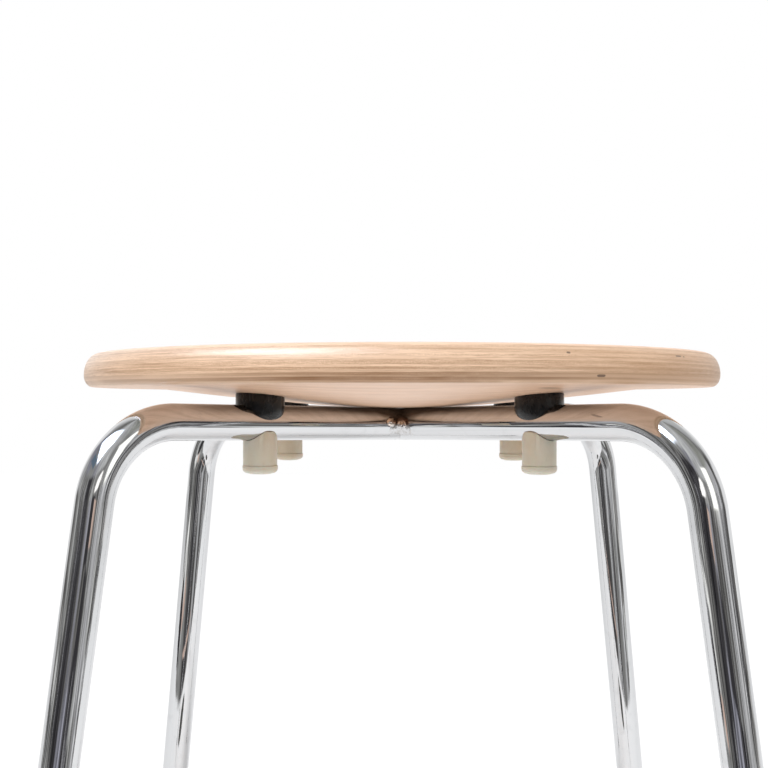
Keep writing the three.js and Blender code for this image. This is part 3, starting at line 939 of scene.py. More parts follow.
def plastic_finish(name, rgb, least, greatest):
    """Moulded plastic with a fine grain, faint flow marks and rubbed spots"""
    plastic = Finish(name, IOR=1.5, Specular_IOR_Level=0.3)
    noises = plastic.noises(PLASTIC_NOISES)
    flow, rubs = noises["flow"], noises["rubs"]
    pale = [min(1.0, part * FLOW_GAIN + FLOW_LIFT) for part in rgb]
    base = plastic.blend(plastic.between(flow, *PLASTIC_SPANS["flow_pale"]), opaque(rgb), opaque(pale))
    base = plastic.blend(plastic.between(rubs, *PLASTIC_SPANS["rubbed"]), base, opaque(RUBBED_TONE))
    roughness = plastic.sum("ADD", plastic.between(flow, *PLASTIC_SPANS["flow_range"], least, greatest),
                            plastic.between(rubs, *PLASTIC_SPANS["rub_roughness"]))
    return plastic.use(Base_Color=base, Roughness=roughness,
                       Normal=plastic.bumps(noises, PLASTIC_BUMPS))


# Nylon: its noises, spans of noises and of places in metres, bumps and tones
NYLON_NOISES = {
    "cloud": {"stretch": (130, 130, 60), "detail": 3, "roughness": 0.55},
    "grain": {"stretch": (2600, 2600, 2600), "detail": 2, "roughness": 0.6},
    "marks": {"stretch": (500, 500, 220), "detail": 5, "roughness": 0.7},
}
NYLON_SPANS = {
    "shaded_back": (-0.02, 0.02, 0.0, 0.5),
    "cloudy": (0.35, 0.7, 0.0, 0.5),
    "marked": (0.62, 0.8, 0.0, 0.3),
    "roughness": (0.3, 0.7, 0.38, 0.52),
}
NYLON_BUMPS = (("grain", 0.07, 0.0002), ("marks", 0.05, 0.0004))
TAN_SHADES = (0.88, 0.78, 0.68)
MARKED_TONE = (0.34, 0.28, 0.21)


def nylon_finish():
    """Natural nylon, slightly translucent, with clouds and handling marks, and painted shade that makes
    it tanner at the back, where the back stops lie deeper under the seat
    """
    cream = stool().fitting.cream
    nylon = Finish("Cream nylon", IOR=1.53, Subsurface_Weight=0.18, Subsurface_Scale=0.003)
    noises = nylon.noises(NYLON_NOISES)
    tan = [part * shade for part, shade in zip(cream, TAN_SHADES)]
    # Painted shade: the stops at the back take the tan tone, as they lie deeper under the seat
    back = nylon.apart()["Y"]
    cloudy = nylon.sum("ADD", nylon.between(noises["cloud"], *NYLON_SPANS["cloudy"]),
                       nylon.between(back, *NYLON_SPANS["shaded_back"]))
    base = nylon.blend(cloudy, opaque(cream), opaque(tan))
    base = nylon.blend(nylon.between(noises["marks"], *NYLON_SPANS["marked"]), base, opaque(MARKED_TONE))
    roughness = nylon.between(noises["cloud"], *NYLON_SPANS["roughness"])
    return nylon.use(Base_Color=base, Roughness=roughness, Normal=nylon.bumps(noises, NYLON_BUMPS))


# Plated or turned metal of the screws, washers and inserts
METAL_NOISES = {
    "rings": {"stretch": (90, 90, 5200), "detail": 2},
    "stain": {"stretch": (380, 380, 380), "detail": 4, "roughness": 0.6},
}
METAL_SPANS = {"stained": (0.4, 0.75, 0.0, 0.7), "roughness": (0.3, 0.7, 0.24, 0.42)}
METAL_BUMPS = (("rings", 0.12, 0.0001),)
STAIN_SHADE = 0.72


def turned_metal_finish(name, rgb):
    """Plated or turned metal with tool rings and stains"""
    metal = Finish(name, Metallic=1.0)
    noises = metal.noises(METAL_NOISES)
    base = metal.blend(metal.between(noises["stain"], *METAL_SPANS["stained"]),
                       opaque(rgb), opaque(times(rgb, STAIN_SHADE)))
    roughness = metal.between(noises["stain"], *METAL_SPANS["roughness"])
    return metal.use(Base_Color=base, Roughness=roughness, Normal=metal.bumps(noises, METAL_BUMPS))


# The seat


def seat_outline():
    """The seat's outline from the middle of its underside to the middle of its top"""
    seat = stool().seat
    radius = seat.diameter / 2
    under, top = rim_underside(), seat.height
    bottom_start = radius - seat.bottom_round_width
    top_start = radius - seat.top_round_width
    quarter = math.pi / 2
    outer = [bottom_start * ring / SEAT_FACE_RINGS for ring in range(SEAT_FACE_RINGS)]
    outline = [(r, underside(r)) for r in outer]
    outline += arc((bottom_start, under + seat.bottom_round_depth), seat.bottom_round_width,
                   seat.bottom_round_depth, -quarter, 0, SEAT_ROUND_STEPS)
    outline += arc((top_start, top - seat.top_round_depth), seat.top_round_width,
                   seat.top_round_depth - dish_sink(top_start), 0, quarter, SEAT_ROUND_STEPS)
    inner = [top_start * ring / SEAT_FACE_RINGS for ring in range(SEAT_FACE_RINGS)]
    outline += [(r, top - dish_sink(r)) for r in reversed(inner)]
    return outline


def make_seat():
    """The dished plywood disc"""
    seat = stool().seat
    piece = skin("visual_seat", lathe_rings(seat_outline(), SEAT_SIDES))
    depths = []
    for point in piece.data.vertices:
        x, y, z = point.co
        local_top = seat.height - dish_sink(math.hypot(x, y))
        depths.append(min(1.0, max(0.0, (local_top - z) / seat.thickness)))
    store(piece, "ply_depth", depths)
    place_piece(piece, "seat", plywood_finish())


# The tube frame


def leg_stations(bend_radius, end_lift):
    """A half hoop's route in its upright plane: out from the middle, round the bend, down the leg"""
    tube = stool().tube
    middle = Vector((0.0, middle_axis_height()))
    corner = Vector((tube.corner_radius, axis_height(tube.corner_radius)))
    foot = Vector((tube.foot_radius, 0.0))
    outward = (corner - middle).normalized()
    downward = (foot - corner).normalized()
    bend = math.acos(outward.dot(downward))
    start = corner - outward * (bend_radius * math.tan(bend / 2))
    inward = Vector((outward.y, -outward.x))
    centre = start + inward * bend_radius
    stations = [(middle, outward)]
    for step in range(BEND_STEPS + 1):
        angle = bend * step / BEND_STEPS
        place = centre - inward * (bend_radius * math.cos(angle))
        place += outward * (bend_radius * math.sin(angle))
        direction = outward * math.cos(angle) + inward * math.sin(angle)
        stations.append((place, direction))
    stations.append((foot - downward * end_lift, downward))
    return stations


def ring_round(station, radius, sides, azimuth):
    """A ring round a route's station, square to the route"""
    place, direction = station
    upward = Vector((-direction.y, direction.x))
    points = []
    for angle in circle(sides):
        lift = upward * (radius * math.cos(angle))
        point = (place.x + lift.x, radius * math.sin(angle), place.y + lift.y)
        points.append(turned(point, azimuth))
    return points


def coped_ring(radius, sides, azimuth):
    """A half hoop's inner end, cut to sit round the hoop that it meets"""
    tube = stool().tube
    height = middle_axis_height()
    points = []
    for angle in circle(sides):
        lift = radius * math.cos(angle)
        reach = math.sqrt(max(0.0, (tube.diameter / 2) ** 2 - lift ** 2)) + COPE_GAP
        points.append(turned((reach, radius * math.sin(angle), height + lift), azimuth))
    return points


def tube_rings(route, azimuth):
    """Rings of a tube's outside along a route, and of its bore back again"""
    tube = stool().tube
    outer, bore = tube.diameter / 2, tube.diameter / 2 - tube.wall
    rings = [ring_round(station, outer, TUBE_SIDES, azimuth) for station in route]
    return rings + [ring_round(station, bore, BORE_SIDES, azimuth) for station in reversed(route)]


def make_hoop():
    """The tube that runs from foot to foot"""
    half = leg_stations(stool().tube.hoop_bend, stool().fitting.glide_height)
    mirrored = []
    for place, direction in reversed(half[1:]):
        mirrored.append((Vector((-place.x, place.y)), Vector((direction.x, -direction.y))))
    middle = (half[0][0], Vector((1.0, 0.0)))
    rings = tube_rings(mirrored + [middle] + half[1:], LEG_AZIMUTHS["front_right"])
    return skin("visual_hoop", rings, loop=True)


def make_half_hoop(corner):
    """A tube from the crossing to one foot"""
    tube = stool().tube
    route = leg_stations(tube.half_hoop_bend, stool().fitting.glide_height)[1:]
    azimuth = LEG_AZIMUTHS[corner]
    rings = [coped_ring(tube.diameter / 2, TUBE_SIDES, azimuth)]
    rings += tube_rings(route, azimuth)
    rings += [coped_ring(tube.diameter / 2 - tube.wall, BORE_SIDES, azimuth)]
    return skin("visual_half_hoop_" + corner, rings, loop=True)


def drop_spans(across, lift, side):
    """For each drop of a weld, how far a place is from its middle, with its radius as 1"""
    reach = stool().tube.weld_reach
    number = list(WELD_AZIMUTHS).index(side)
    spans = []
    for drop, (sideways, up, size, height) in enumerate(WELD_DROPS):
        swing = math.sin(SWING_BY_WELD * number + SWING_BY_DROP * drop) * DROP_SWING * min(number, 1)
        centre_across = (sideways + swing) * reach * (1 if number % 2 == 0 else -1)
        spans.append(math.hypot(across - centre_across, lift - (up + swing) * reach) / (size * reach))
    return spans


def weld_rise(across, lift, side):
    """How far a weld stands out in front of the corner of two tubes"""
    reach = stool().tube.weld_reach
    number = list(WELD_AZIMUTHS).index(side)
    edge = max(abs(across) / (reach * WELD_WIDTH_SHARE), abs(lift) / reach)
    fade = max(0.0, 1 - edge ** 2)
    fillet = math.hypot(across, WELD_FILLET) - abs(across)
    rise = fillet * fade
    for far, (sideways, up, size, height) in zip(drop_spans(across, lift, side), WELD_DROPS):
        if far < 1:
            foot = fillet * fade * DROP_FOOT
            rise = max(rise, height * reach * math.sqrt(1 - far ** 2) + foot)
    grain = noise.noise(Vector((across, lift, WELD_GRAIN_STEP * number)) * WELD_GRAIN)
    return rise * (1 + WELD_GRAIN_LIFT * grain) - WELD_SINK * (1 - fade)


def make_weld(side):
    """A weld in the corner between two tubes: a fillet with overlapping drops of metal"""
    tube = stool().tube
    azimuth = WELD_AZIMUTHS[side]
    radius, reach = tube.diameter / 2, tube.weld_reach
    height = middle_axis_height()
    half_width = reach * WELD_WIDTH_SHARE
    rings, on_drops = [], []
    for step in range(WELD_STEPS + 1):
        lift = reach * (2 * step / WELD_STEPS - 1)
        crotch = math.sqrt(2) * math.sqrt(radius ** 2 - lift ** 2)
        if step in (0, WELD_STEPS):
            rings.append([turned((crotch - tube.wall / 2, 0.0, height + lift), azimuth)])
            on_drops.append(0.0)
            continue
        front, back, shares = [], [], []
        for place in range(WELD_ACROSS + 1):
            across = half_width * (2 * place / WELD_ACROSS - 1)
            surface = crotch + abs(across)
            rise = weld_rise(across, lift, side)
            front.append(turned((surface + rise, across, height + lift), azimuth))
            back.append(turned((surface - tube.wall, across, height + lift), azimuth))
            nearest = min(drop_spans(across, lift, side)[:BRIGHT_DROPS])
            shares.append(max(0.0, 1 - nearest))
        rings.append(front + back[::-1])
        on_drops += shares + shares[::-1]
    weld = skin("visual_weld_" + side, rings)
    store(weld, "on_drop", on_drops)
    return weld


# Spacers, stops and what holds them


def around_screw(name, outline, corner, loop=False):
    """A body round the axis of a corner's screw; each point of the outline has a radius and a
    height, and a height may be a function of the place along and across the tube"""
    centre = stool().fitting.circle_radius
    azimuth = LEG_AZIMUTHS[corner]
    rings = []
    for radius, height in outline:
        ring = []
        for angle in circle(PIECE_SIDES if radius else 1):
            x, y = centre + radius * math.cos(angle), radius * math.sin(angle)
            z = height(x, y) if callable(height) else height
            ring.append(turned((x, y, z), azimuth))
        rings.append(ring)
    return skin(name, rings, loop)


def eased_top(radius, hole, face):
    """The end of an outline: a rounded edge, then a face inwards to the hole"""
    outline = []
    for inwards, down in ((0.0, 1.0), (EDGE_MIDDLE, EDGE_MIDDLE), (1.0, 0.0)):
        drop = EDGE_ROUND * down
        outline.append((radius - EDGE_ROUND * inwards, lambda x, y, drop=drop: face(x, y) - drop))
    return outline + [(r, face) for r in spaced(radius - EDGE_ROUND * 2, hole, SADDLE_RINGS)]


def tube_surface(x, y, side):
    """Height of the cross tube's surface, just clear of it: side 1 is the upper, -1 the lower"""
    radius = stool().tube.diameter / 2 + SNUG
    return axis_height(x) + side * math.sqrt(max(0.0, radius ** 2 - y ** 2))


def spaced(start, end, count):
    """Evenly spaced numbers from start to end"""
    return [start + (end - start) * index / count for index in range(count + 1)]


def make_spacer(corner):
    """The black cup between tube and seat"""
    fitting = stool().fitting
    radius = fitting.spacer_diameter / 2
    hole = fitting.screw_hole / 2
    lowest = axis_height(fitting.circle_radius) + fitting.spacer_drop
    flat_end = radius - fitting.spacer_round

    def cup_bottom(x, y):
        far = math.hypot(x - fitting.circle_radius, y) - flat_end
        rise = 0.0
        if far > 0:
            rise = fitting.spacer_round
            rise -= math.sqrt(max(0.0, fitting.spacer_round ** 2 - far ** 2))
        clear = tube_surface(x, y, 1) if abs(y) <= stool().tube.diameter / 2 else 0.0
        return max(lowest + rise, clear)

    def seat_above(x, y):
        return underside(math.hypot(x, y)) - SNUG

    outline = [(r, cup_bottom) for r in spaced(hole, radius, CUP_RINGS)]
    outline += eased_top(radius, hole, seat_above)
    return around_screw("visual_spacer_" + corner, outline, corner, loop=True)


def make_sleeve(corner):
    """The stop's sleeve: saddle above, shelf for the screw, open bore below"""
    fitting = stool().fitting
    radius, bore, hole = (
        fitting.sleeve_diameter / 2, fitting.sleeve_bore / 2, fitting.screw_hole / 2)
    axis = axis_height(fitting.circle_radius)
    bottom = axis - fitting.sleeve_bottom
    shelf = axis - stool().tube.diameter / 2 - fitting.sleeve_shelf
    lobe = axis - fitting.sleeve_lobe

    def saddle(x, y):
        return min(lobe, tube_surface(x, y, -1))

    outline = [(hole, shelf), (bore, shelf), (bore, bottom + EDGE_ROUND), (bore + EDGE_ROUND, bottom)]
    outline += [(radius - SEAM_ROUND, bottom), (radius, bottom + SEAM_ROUND)]
    outline += eased_top(radius, hole, saddle)
    return around_screw("visual_stack_sleeve_" + corner, outline, corner, loop=True)


def make_plug(corner):
    """The stop's domed end with its spigot"""
    fitting = stool().fitting
    radius = fitting.plug_diameter / 2
    top = axis_height(fitting.circle_radius) - fitting.sleeve_bottom - SEAM
    bottom = top - fitting.plug_height
    spigot = fitting.sleeve_bore / 2 - SEAM
    flat = fitting.plug_flat / 2
    round_radius = fitting.plug_round
    edge = radius - round_radius
    outline = [(0, bottom), (flat, bottom)]
    for step in range(1, ROUND_STEPS + 1):
        along = step / ROUND_STEPS
        outline.append((flat + (edge - flat) * along, bottom + fitting.plug_dome * along ** 2))
    outline += arc((edge, bottom + fitting.plug_dome + round_radius), round_radius, round_radius,
                   PLUG_ROUND_START - math.pi / 2, 0, ROUND_STEPS)
    outline += [(radius, top - SEAM_ROUND), (radius - SEAM_ROUND, top), (spigot, top),
                (spigot, top + SPIGOT_LENGTH), (spigot - SPIGOT_WALL, top + SPIGOT_LENGTH),
                (spigot - SPIGOT_WALL, top), (0, top)]
    return around_screw("visual_stack_plug_" + corner, outline, corner)


# Operators


class STOOL_OT_seat(bpy.types.Operator):
    """Make the plywood seat"""

    bl_idname = "stool.seat"
    bl_label = "Seat"

    def execute(self, context):
        make_seat()
        return {"FINISHED"}


class STOOL_OT_frame(bpy.types.Operator):
    """Make the chromed tubes"""

    bl_idname = "stool.frame"
    bl_label = "Tube frame"

    def execute(self, context):
        chrome = chrome_finish()
        place_piece(make_hoop(), "hoop", chrome)
        for corner in ("front_left", "back_right"):
            place_piece(make_half_hoop(corner), "half_hoop_" + corner, chrome)
        return {"FINISHED"}


class STOOL_OT_welds(bpy.types.Operator):
    """Make the welds in the corners of the crossing"""

    bl_idname = "stool.welds"
    bl_label = "Welds"

    def execute(self, context):
        metal = weld_finish()
        for side in WELD_AZIMUTHS:
            place_piece(make_weld(side), "weld_" + side, metal)
        return {"FINISHED"}


class STOOL_OT_spacers(bpy.types.Operator):
    """Make the spacers between the tubes and the seat"""

    bl_idname = "stool.spacers"
    bl_label = "Spacers"

    def execute(self, context):
        black = plastic_finish("Black spacer plastic", stool().fitting.black, *SPACER_ROUGHNESS)
        for corner in LEG_AZIMUTHS:
            place_piece(make_spacer(corner), "spacer_" + corner, black)
        return {"FINISHED"}


class STOOL_OT_stops(bpy.types.Operator):
    """Make the stacking stops"""

    bl_idname = "stool.stops"
    bl_label = "Stacking stops"

    def execute(self, context):
        cream = nylon_finish()
        for corner in LEG_AZIMUTHS:
            place_piece(make_sleeve(corner), "stack_sleeve_" + corner, cream)
            place_piece(make_plug(corner), "stack_plug_" + corner, cream)
        return {"FINISHED"}


class STOOL_OT_fasteners(bpy.types.Operator):
    """Finish the screws, washers and inserts"""

    bl_idname = "stool.fasteners"
    bl_label = "Fasteners"

    def execute(self, context):
        fitting = stool().fitting
        zinc = turned_metal_finish("Zinc plate", fitting.zinc)
        brass = turned_metal_finish("Turned brass", fitting.brass)
        for corner in LEG_AZIMUTHS:
            for kind, metal in (("screw_", zinc), ("washer_", zinc), ("insert_", brass)):
                refinish(kind + corner, metal)
        return {"FINISHED"}


class STOOL_OT_glides(bpy.types.Operator):
    """Finish the glides in the legs"""

    bl_idname = "stool.glides"
    bl_label = "Glides"

    def execute(self, context):
        black = plastic_finish("Black glide plastic", stool().fitting.black, *GLIDE_ROUGHNESS)
        for corner in LEG_AZIMUTHS:
            refinish("glide_" + corner, black)
        return {"FINISHED"}


# The stage


# How near and how far the camera sees
CAMERA_CLIP = (0.01, 100.0)
# Half the floor's width and depth
FLOOR_HALF = 6.0
# The white sheet's front edge as polished metal shows it: where it lies before the stool, how
# softly it ends, from how far aside it bends back, and how steeply
SHEET_EDGE = -0.25
SHEET_SOFTNESS = 0.02
SHEET_BEND = 0.45
SHEET_SLOPE = 0.30
# Height of the metal that mirrors the floor, for the height at which a place there is seen
MIRROR_HEIGHT = 0.35
# What the floor gives off and scatters: where it is seen, where metal mirrors it, from left to
# right, and where it only lights the stool
SEEN_GLOW = (0.86, 0.86, 0.86)
SEEN_SHADE = (0.26, 0.26, 0.26)
MIRRORED_GLOW_SPAN = (-0.30, 0.10, 0.15, 0.28)
MIRRORED_SHADE = (0.88, 0.885, 0.89)
PLAIN_SHADE = (0.90, 0.90, 0.90)
# Where the border of a floor patch fades, in squares of its half size
PATCH_SPAN = (0.7, 1.0, 1.0, 0.0)

# Tones of the room that polished metal mirrors
WHITE = (1.0, 1.0, 1.0)
BRIGHT = (0.68, 0.69, 0.68)
PALE = (0.52, 0.52, 0.525)
GREY = (0.33, 0.33, 0.32)
DUSK = (0.21, 0.207, 0.20)
DARK = (0.115, 0.112, 0.108)
BLACK = (0.052, 0.050, 0.054)
NO_LIGHT = (0.0, 0.0, 0.0)
SAND = (0.50, 0.465, 0.42)
LILAC = (0.30, 0.30, 0.345)
BLUE = (0.155, 0.21, 0.27)
OLIVE = (0.34, 0.345, 0.315)
ROSE = (0.78, 0.58, 0.49)
THREAD_TONE = (0.56, 0.56, 0.58)
# That room in rows, each a list of turns from the camera's side to the right, in degrees, with
# the tone there: the ground past the floor, then up to the ceiling
GROUND_ROW = (
    (-125, WHITE), (-106, DUSK), (-85, DARK), (-60, GREY), (-46, DUSK), (-37, BLACK), (2, DARK),
    (8, PALE), (20, PALE), (23, DARK), (36, BLACK), (41, GREY), (52, DUSK), (60, PALE), (68, PALE),
    (73, DARK), (88, DARK), (102, DUSK), (116, WHITE),
)
LOW_ROW = (
    (-118, WHITE), (-104, SAND), (-98, BLACK), (-94, GREY), (-76, GREY), (-60, DUSK), (-44, DUSK),
    (-37, BLACK), (-19, BLACK), (-15, LILAC), (2, LILAC), (6, BLACK), (28, BLACK), (33, GREY),
    (40, PALE), (56, PALE), (68, GREY), (76, DARK), (92, DUSK), (102, DUSK), (112, WHITE),
)
LEVEL_ROW = (
    (-126, WHITE), (-117, DUSK), (-106, DARK), (-84, GREY), (-73, GREY), (-64, DARK), (-50, BLACK),
    (-22, BLACK), (-15, DARK), (-9, LILAC), (0, DUSK), (8, DARK), (22, DUSK), (29, DARK),
    (37, PALE), (66, PALE), (72, DARK), (80, BLACK), (87, DUSK), (99, DARK), (108, WHITE),
)
UPPER_ROW = (
    (-132, WHITE), (-122, PALE), (-108, PALE), (-96, GREY), (-82, DUSK), (-50, DUSK), (-43, BLACK),
    (-25, BLACK), (-19, DUSK), (-6, GREY), (14, DUSK), (30, DUSK), (36, GREY), (52, PALE),
    (80, PALE), (86, DUSK), (93, DARK), (100, GREY), (106, WHITE),
)
HIGH_ROW = (
    (-132, WHITE), (-120, LILAC), (-80, LILAC), (-62, GREY), (-40, GREY), (-22, LILAC), (-12, PALE),
    (14, BRIGHT), (24, GREY), (48, GREY), (60, PALE), (82, PALE), (88, DARK), (98, DARK),
    (108, DUSK), (120, BRIGHT), (150, WHITE),
)
CEILING_ROW = (
    (-140, WHITE), (-125, PALE), (-108, DUSK), (-85, DUSK), (-40, PALE), (-10, BRIGHT), (20, PALE),
    (45, OLIVE), (80, OLIVE), (98, DUSK), (112, PALE), (140, BRIGHT), (170, WHITE),
)
# Where one row gives way to the next, in degrees above the horizon
ROW_STEPS = (
    (-15.5, -13.5, LOW_ROW), (-4.0, -2.0, LEVEL_ROW), (7.0, 10.5, UPPER_ROW),
    (25.0, 30.0, HIGH_ROW), (39.0, 45.0, CEILING_ROW),
)
# Noises over the room's directions: degrees of turn and of rise to a repeat and a place of their
# own beside them, and how they are detailed
ROOM_NOISES = {
    "sway": {"repeats": (16.0, 14.0, 7.0), "detail": 2},
    "stripes": {"repeats": (6.0, 26.0, 0.0), "detail": 2, "roughness": 0.65},
    "lines": {"repeats": (30.0, 3.2, 2.0), "detail": 1},
    "threads": {"repeats": (3.4, 40.0, 5.0), "detail": 0},
}
# How far the rows sway round and up, in degrees
SWAY_ROUND = 9.0
SWAY_UP = 8.0
# Spans of turns and rises in degrees, and of noises, with what they give at either end
ROOM_SPANS = {
    "near_level": (18.0, 30.0, 1.0, 0.25),
    "not_behind": (98.0, 110.0, 1.0, 0.0),
    "beside": (62.0, 72.0, 0.0, 1.0),
    "not_above": (1.0, 4.0, 1.0, 0.0),
    "stripes": (0.38, 0.62, 0.3, 1.9),
    "lines": (0.42, 0.60, 0.5, 2.6),
    "threads": (0.63, 0.70, 0.0, 0.8),
}
# The soft light: spans of rise in degrees, and of the direction's share towards the back and the
# right, and how much its low front adds
LIGHT_SPANS = {
    "low": (4.0, 16.0, 1.0, 0.0),
    "front": (-0.3, 0.1, 1.0, 0.0),
    "right": (0.0, 0.9, 0.0, 0.45),
}
LOW_FRONT_ADDS = -0.4

# How steeply a panel's border fades
PANEL_FADE = 2.5
# Panels that stand round the stool for polished surfaces to mirror: corners, brightness, and the
# share of the panel that is even, inside its fading border
PANELS = {
    "overhead_panel": (
        ((-1.02, 0.20, 1.20), (-0.72, -1.06, 1.20), (-0.08, -0.72, 1.20), (-0.08, -0.38, 1.20),
         (-0.56, -0.02, 1.20)),
        (10.5, 12.0, 14.5), 0.56),
    "blue_panel": (
        ((-0.475, -0.095, 0.60), (-0.350, -0.393, 0.60), (-0.350, -0.393, 0.70),
         (-0.475, -0.095, 0.69)),
        BLUE, 0.66),
    "right_panel": (
        ((0.585, -0.520, 0.43), (0.315, -0.645, 0.43), (0.230, -0.645, 0.85),
         (0.585, -0.520, 0.94)),
        (1.8, 1.8, 1.68), 0.78),
    "front_panel": (
        ((-0.12, -0.60, 0.46), (0.05, -0.59, 0.47), (0.105, -0.59, 0.52), (0.095, -0.59, 0.59),
         (0.02, -0.59, 0.62), (-0.07, -0.60, 0.58), (-0.12, -0.60, 0.51)),
        (1.7, 1.66, 1.6), 0.72),
    "dark_panel": (
        ((-0.41, -0.76, 0.47), (-0.58, -0.60, 0.47), (-0.58, -0.60, 0.74), (-0.41, -0.76, 0.70)),
        BLACK, 0.70),
    "black_panel": (
        ((-0.15, -0.60, 0.37), (-0.035, -0.60, 0.36), (-0.035, -0.60, 0.465), (-0.15, -0.60, 0.45)),
        BLACK, 0.80),
    "low_black_panel": (
        ((0.00, -0.98, 0.24), (0.28, -0.98, 0.22), (0.28, -0.98, 0.34), (0.00, -0.98, 0.40)),
        BLACK, 0.80),
    "rosy_panel": (
        ((-0.02, -0.60, 0.375), (0.055, -0.60, 0.365), (0.075, -0.60, 0.42), (-0.02, -0.60, 0.44)),
        ROSE, 0.80),
}
# Things in front of the sheet that polished metal shows: place, half sizes and colour
FLOOR_PATCHES = (
    (-0.15, -0.385, 0.24, 0.020, ROSE),
    (-0.92, -0.46, 0.15, 0.13, ROSE),
    (-0.04, -0.17, 0.08, 0.045, DARK),
    (-1.22, -0.23, 0.44, 0.17, BLACK),
    (1.12, -0.18, 0.26, 0.13, BRIGHT),
)


def make_floor():
    """A white sweep that keeps the stool's shadow"""
    signs = ((-1, -1), (1, -1), (1, 1), (-1, 1))
    corners = [(FLOOR_HALF * x, FLOOR_HALF * y, 0.0) for x, y in signs]
    mesh = bpy.data.meshes.new("floor")
    mesh.from_pydata(corners, [], [(0, 1, 2, 3)])
    floor = add_object("floor", mesh)
    floor.data.materials.append(floor_finish())


def floor_finish():
    """White where it is seen, plain pale where it lights the stool, and dark for polished metal
    in front of the sheet, where the room begins"""
    floor = Finish("White sweep")
    path = floor.node("ShaderNodeLightPath").outputs
    mirrored = path["Is Glossy Ray"]
    seen = floor.sum("MAXIMUM", path["Is Camera Ray"], mirrored)
    seen = floor.sum("MAXIMUM", seen, path["Is Transmission Ray"])
    apart = floor.apart()
    x, y = apart["X"], apart["Y"]
    level = floor.between(x, *MIRRORED_GLOW_SPAN)
    glow = floor.blend(mirrored, opaque(SEEN_GLOW), floor.grey(level))
    shade = floor.blend(mirrored, opaque(SEEN_SHADE), opaque(MIRRORED_SHADE))

    past_bend = floor.sum("SUBTRACT", floor.sum("ABSOLUTE", x), SHEET_BEND)
    border = floor.sum("MULTIPLY_ADD", floor.sum("MAXIMUM", past_bend, 0.0), SHEET_SLOPE, SHEET_EDGE)
    front = floor.between(floor.sum("SUBTRACT", y, border), -SHEET_SOFTNESS, 0.0, 1.0, 0.0)
    front = floor.sum("MULTIPLY", front, mirrored)
    rise = floor.sum("DEGREES", floor.sum("ARCTAN2", -MIRROR_HEIGHT, floor.far_out()))
    glow = floor.blend(front, glow, room_bands(floor, floor.turn(x, y), rise))
    shade = floor.blend(front, shade, opaque(NO_LIGHT))
    for place_x, place_y, half_x, half_y, rgb in FLOOR_PATCHES:
        across = floor.square(floor.share_of(x, place_x, half_x))
        along = floor.square(floor.share_of(y, place_y, half_y))
        inside = floor.between(floor.sum("ADD", across, along), *PATCH_SPAN)
        inside = floor.sum("MULTIPLY", inside, mirrored)
        glow = floor.blend(inside, glow, opaque(rgb))
        shade = floor.blend(inside, shade, opaque(NO_LIGHT))
    both = floor.node("ShaderNodeAddShader")
    floor.feed(both.inputs[0], floor.shade("ShaderNodeBsdfDiffuse", shade))
    floor.feed(both.inputs[1], floor.shade("ShaderNodeEmission", glow))
    plain = floor.shade("ShaderNodeBsdfDiffuse", opaque(PLAIN_SHADE))
    return floor.show(seen, plain, both.outputs[0])


def room_noise(room, name, turn, rise):
    """A noise over the room's directions"""
    settings = dict(ROOM_NOISES[name])
    turn_repeat, rise_repeat, beside = settings.pop("repeats")
    place = room.vector(
        room.sum("DIVIDE", turn, turn_repeat), room.sum("DIVIDE", rise, rise_repeat), beside)
    return room.noise(place, **settings)


def room_row(room, way_round, row):
    """A row's tones by the share of the way round"""
    return room.ramp(way_round, [((turn + 180) / 360, rgb) for turn, rgb in row])


def contrast_where(room, contrast, amount):
    """A contrast that counts only by an amount"""
    return room.sum("MULTIPLY_ADD", room.sum("SUBTRACT", contrast, 1.0), amount, 1.0)


def room_bands(room, turn, rise):
    """The room round the stool by direction: rows of bands, finely streaked on the camera's side"""
    sway = room.sum("SUBTRACT", room_noise(room, "sway", turn, rise), 0.5)
    moved_turn = room.sum("MULTIPLY_ADD", sway, SWAY_ROUND, turn)
    moved_rise = room.sum("MULTIPLY_ADD", sway, SWAY_UP, rise)
    way_round = room.between(moved_turn, -180.0, 180.0)
    colours = room_row(room, way_round, GROUND_ROW)
    for start, end, row in ROW_STEPS:
        amount = room.between(moved_rise, start, end)
        colours = room.blend(amount, colours, room_row(room, way_round, row))

    away = room.sum("ABSOLUTE", turn)
    near_level = room.between(room.sum("ABSOLUTE", rise), *ROOM_SPANS["near_level"])
    streaked = room.sum("MULTIPLY", room.between(away, *ROOM_SPANS["not_behind"]), near_level)
    lined = room.sum("MULTIPLY", room.between(away, *ROOM_SPANS["beside"]),
                     room.between(rise, *ROOM_SPANS["not_above"]))
    stripes = room.between(room_noise(room, "stripes", moved_turn, rise), *ROOM_SPANS["stripes"])
    lines = room.between(room_noise(room, "lines", turn, rise), *ROOM_SPANS["lines"])
    contrast = room.sum("MULTIPLY", stripes, contrast_where(room, lines, lined))
    contrast = contrast_where(room, contrast, streaked)
    colours = room.blend(1.0, colours, room.grey(contrast), "MULTIPLY")
    threads = room.between(room_noise(room, "threads", turn, rise), *ROOM_SPANS["threads"])
    return room.blend(room.sum("MULTIPLY", streaked, threads), colours, opaque(THREAD_TONE))


def room_colour(room, direction):
    """The room that polished metal mirrors, by direction"""
    turn = room.turn(direction["X"], direction["Y"])
    return room_bands(room, turn, room.rise(direction["Z"]))


def soft_light(room, direction, strength):
    """The soft light all round, dimmer from the low front and from the right"""
    low_front = room.sum("MULTIPLY", room.between(room.rise(direction["Z"]), *LIGHT_SPANS["low"]),
                         room.between(direction["Y"], *LIGHT_SPANS["front"]))
    right = room.between(direction["X"], *LIGHT_SPANS["right"])
    level = room.sum("MULTIPLY", room.sum("SUBTRACT", 1.0, right), strength)
    level = room.sum("MULTIPLY", level, room.sum("MULTIPLY_ADD", low_front, LOW_FRONT_ADDS, 1.0))
    return room.grey(level)


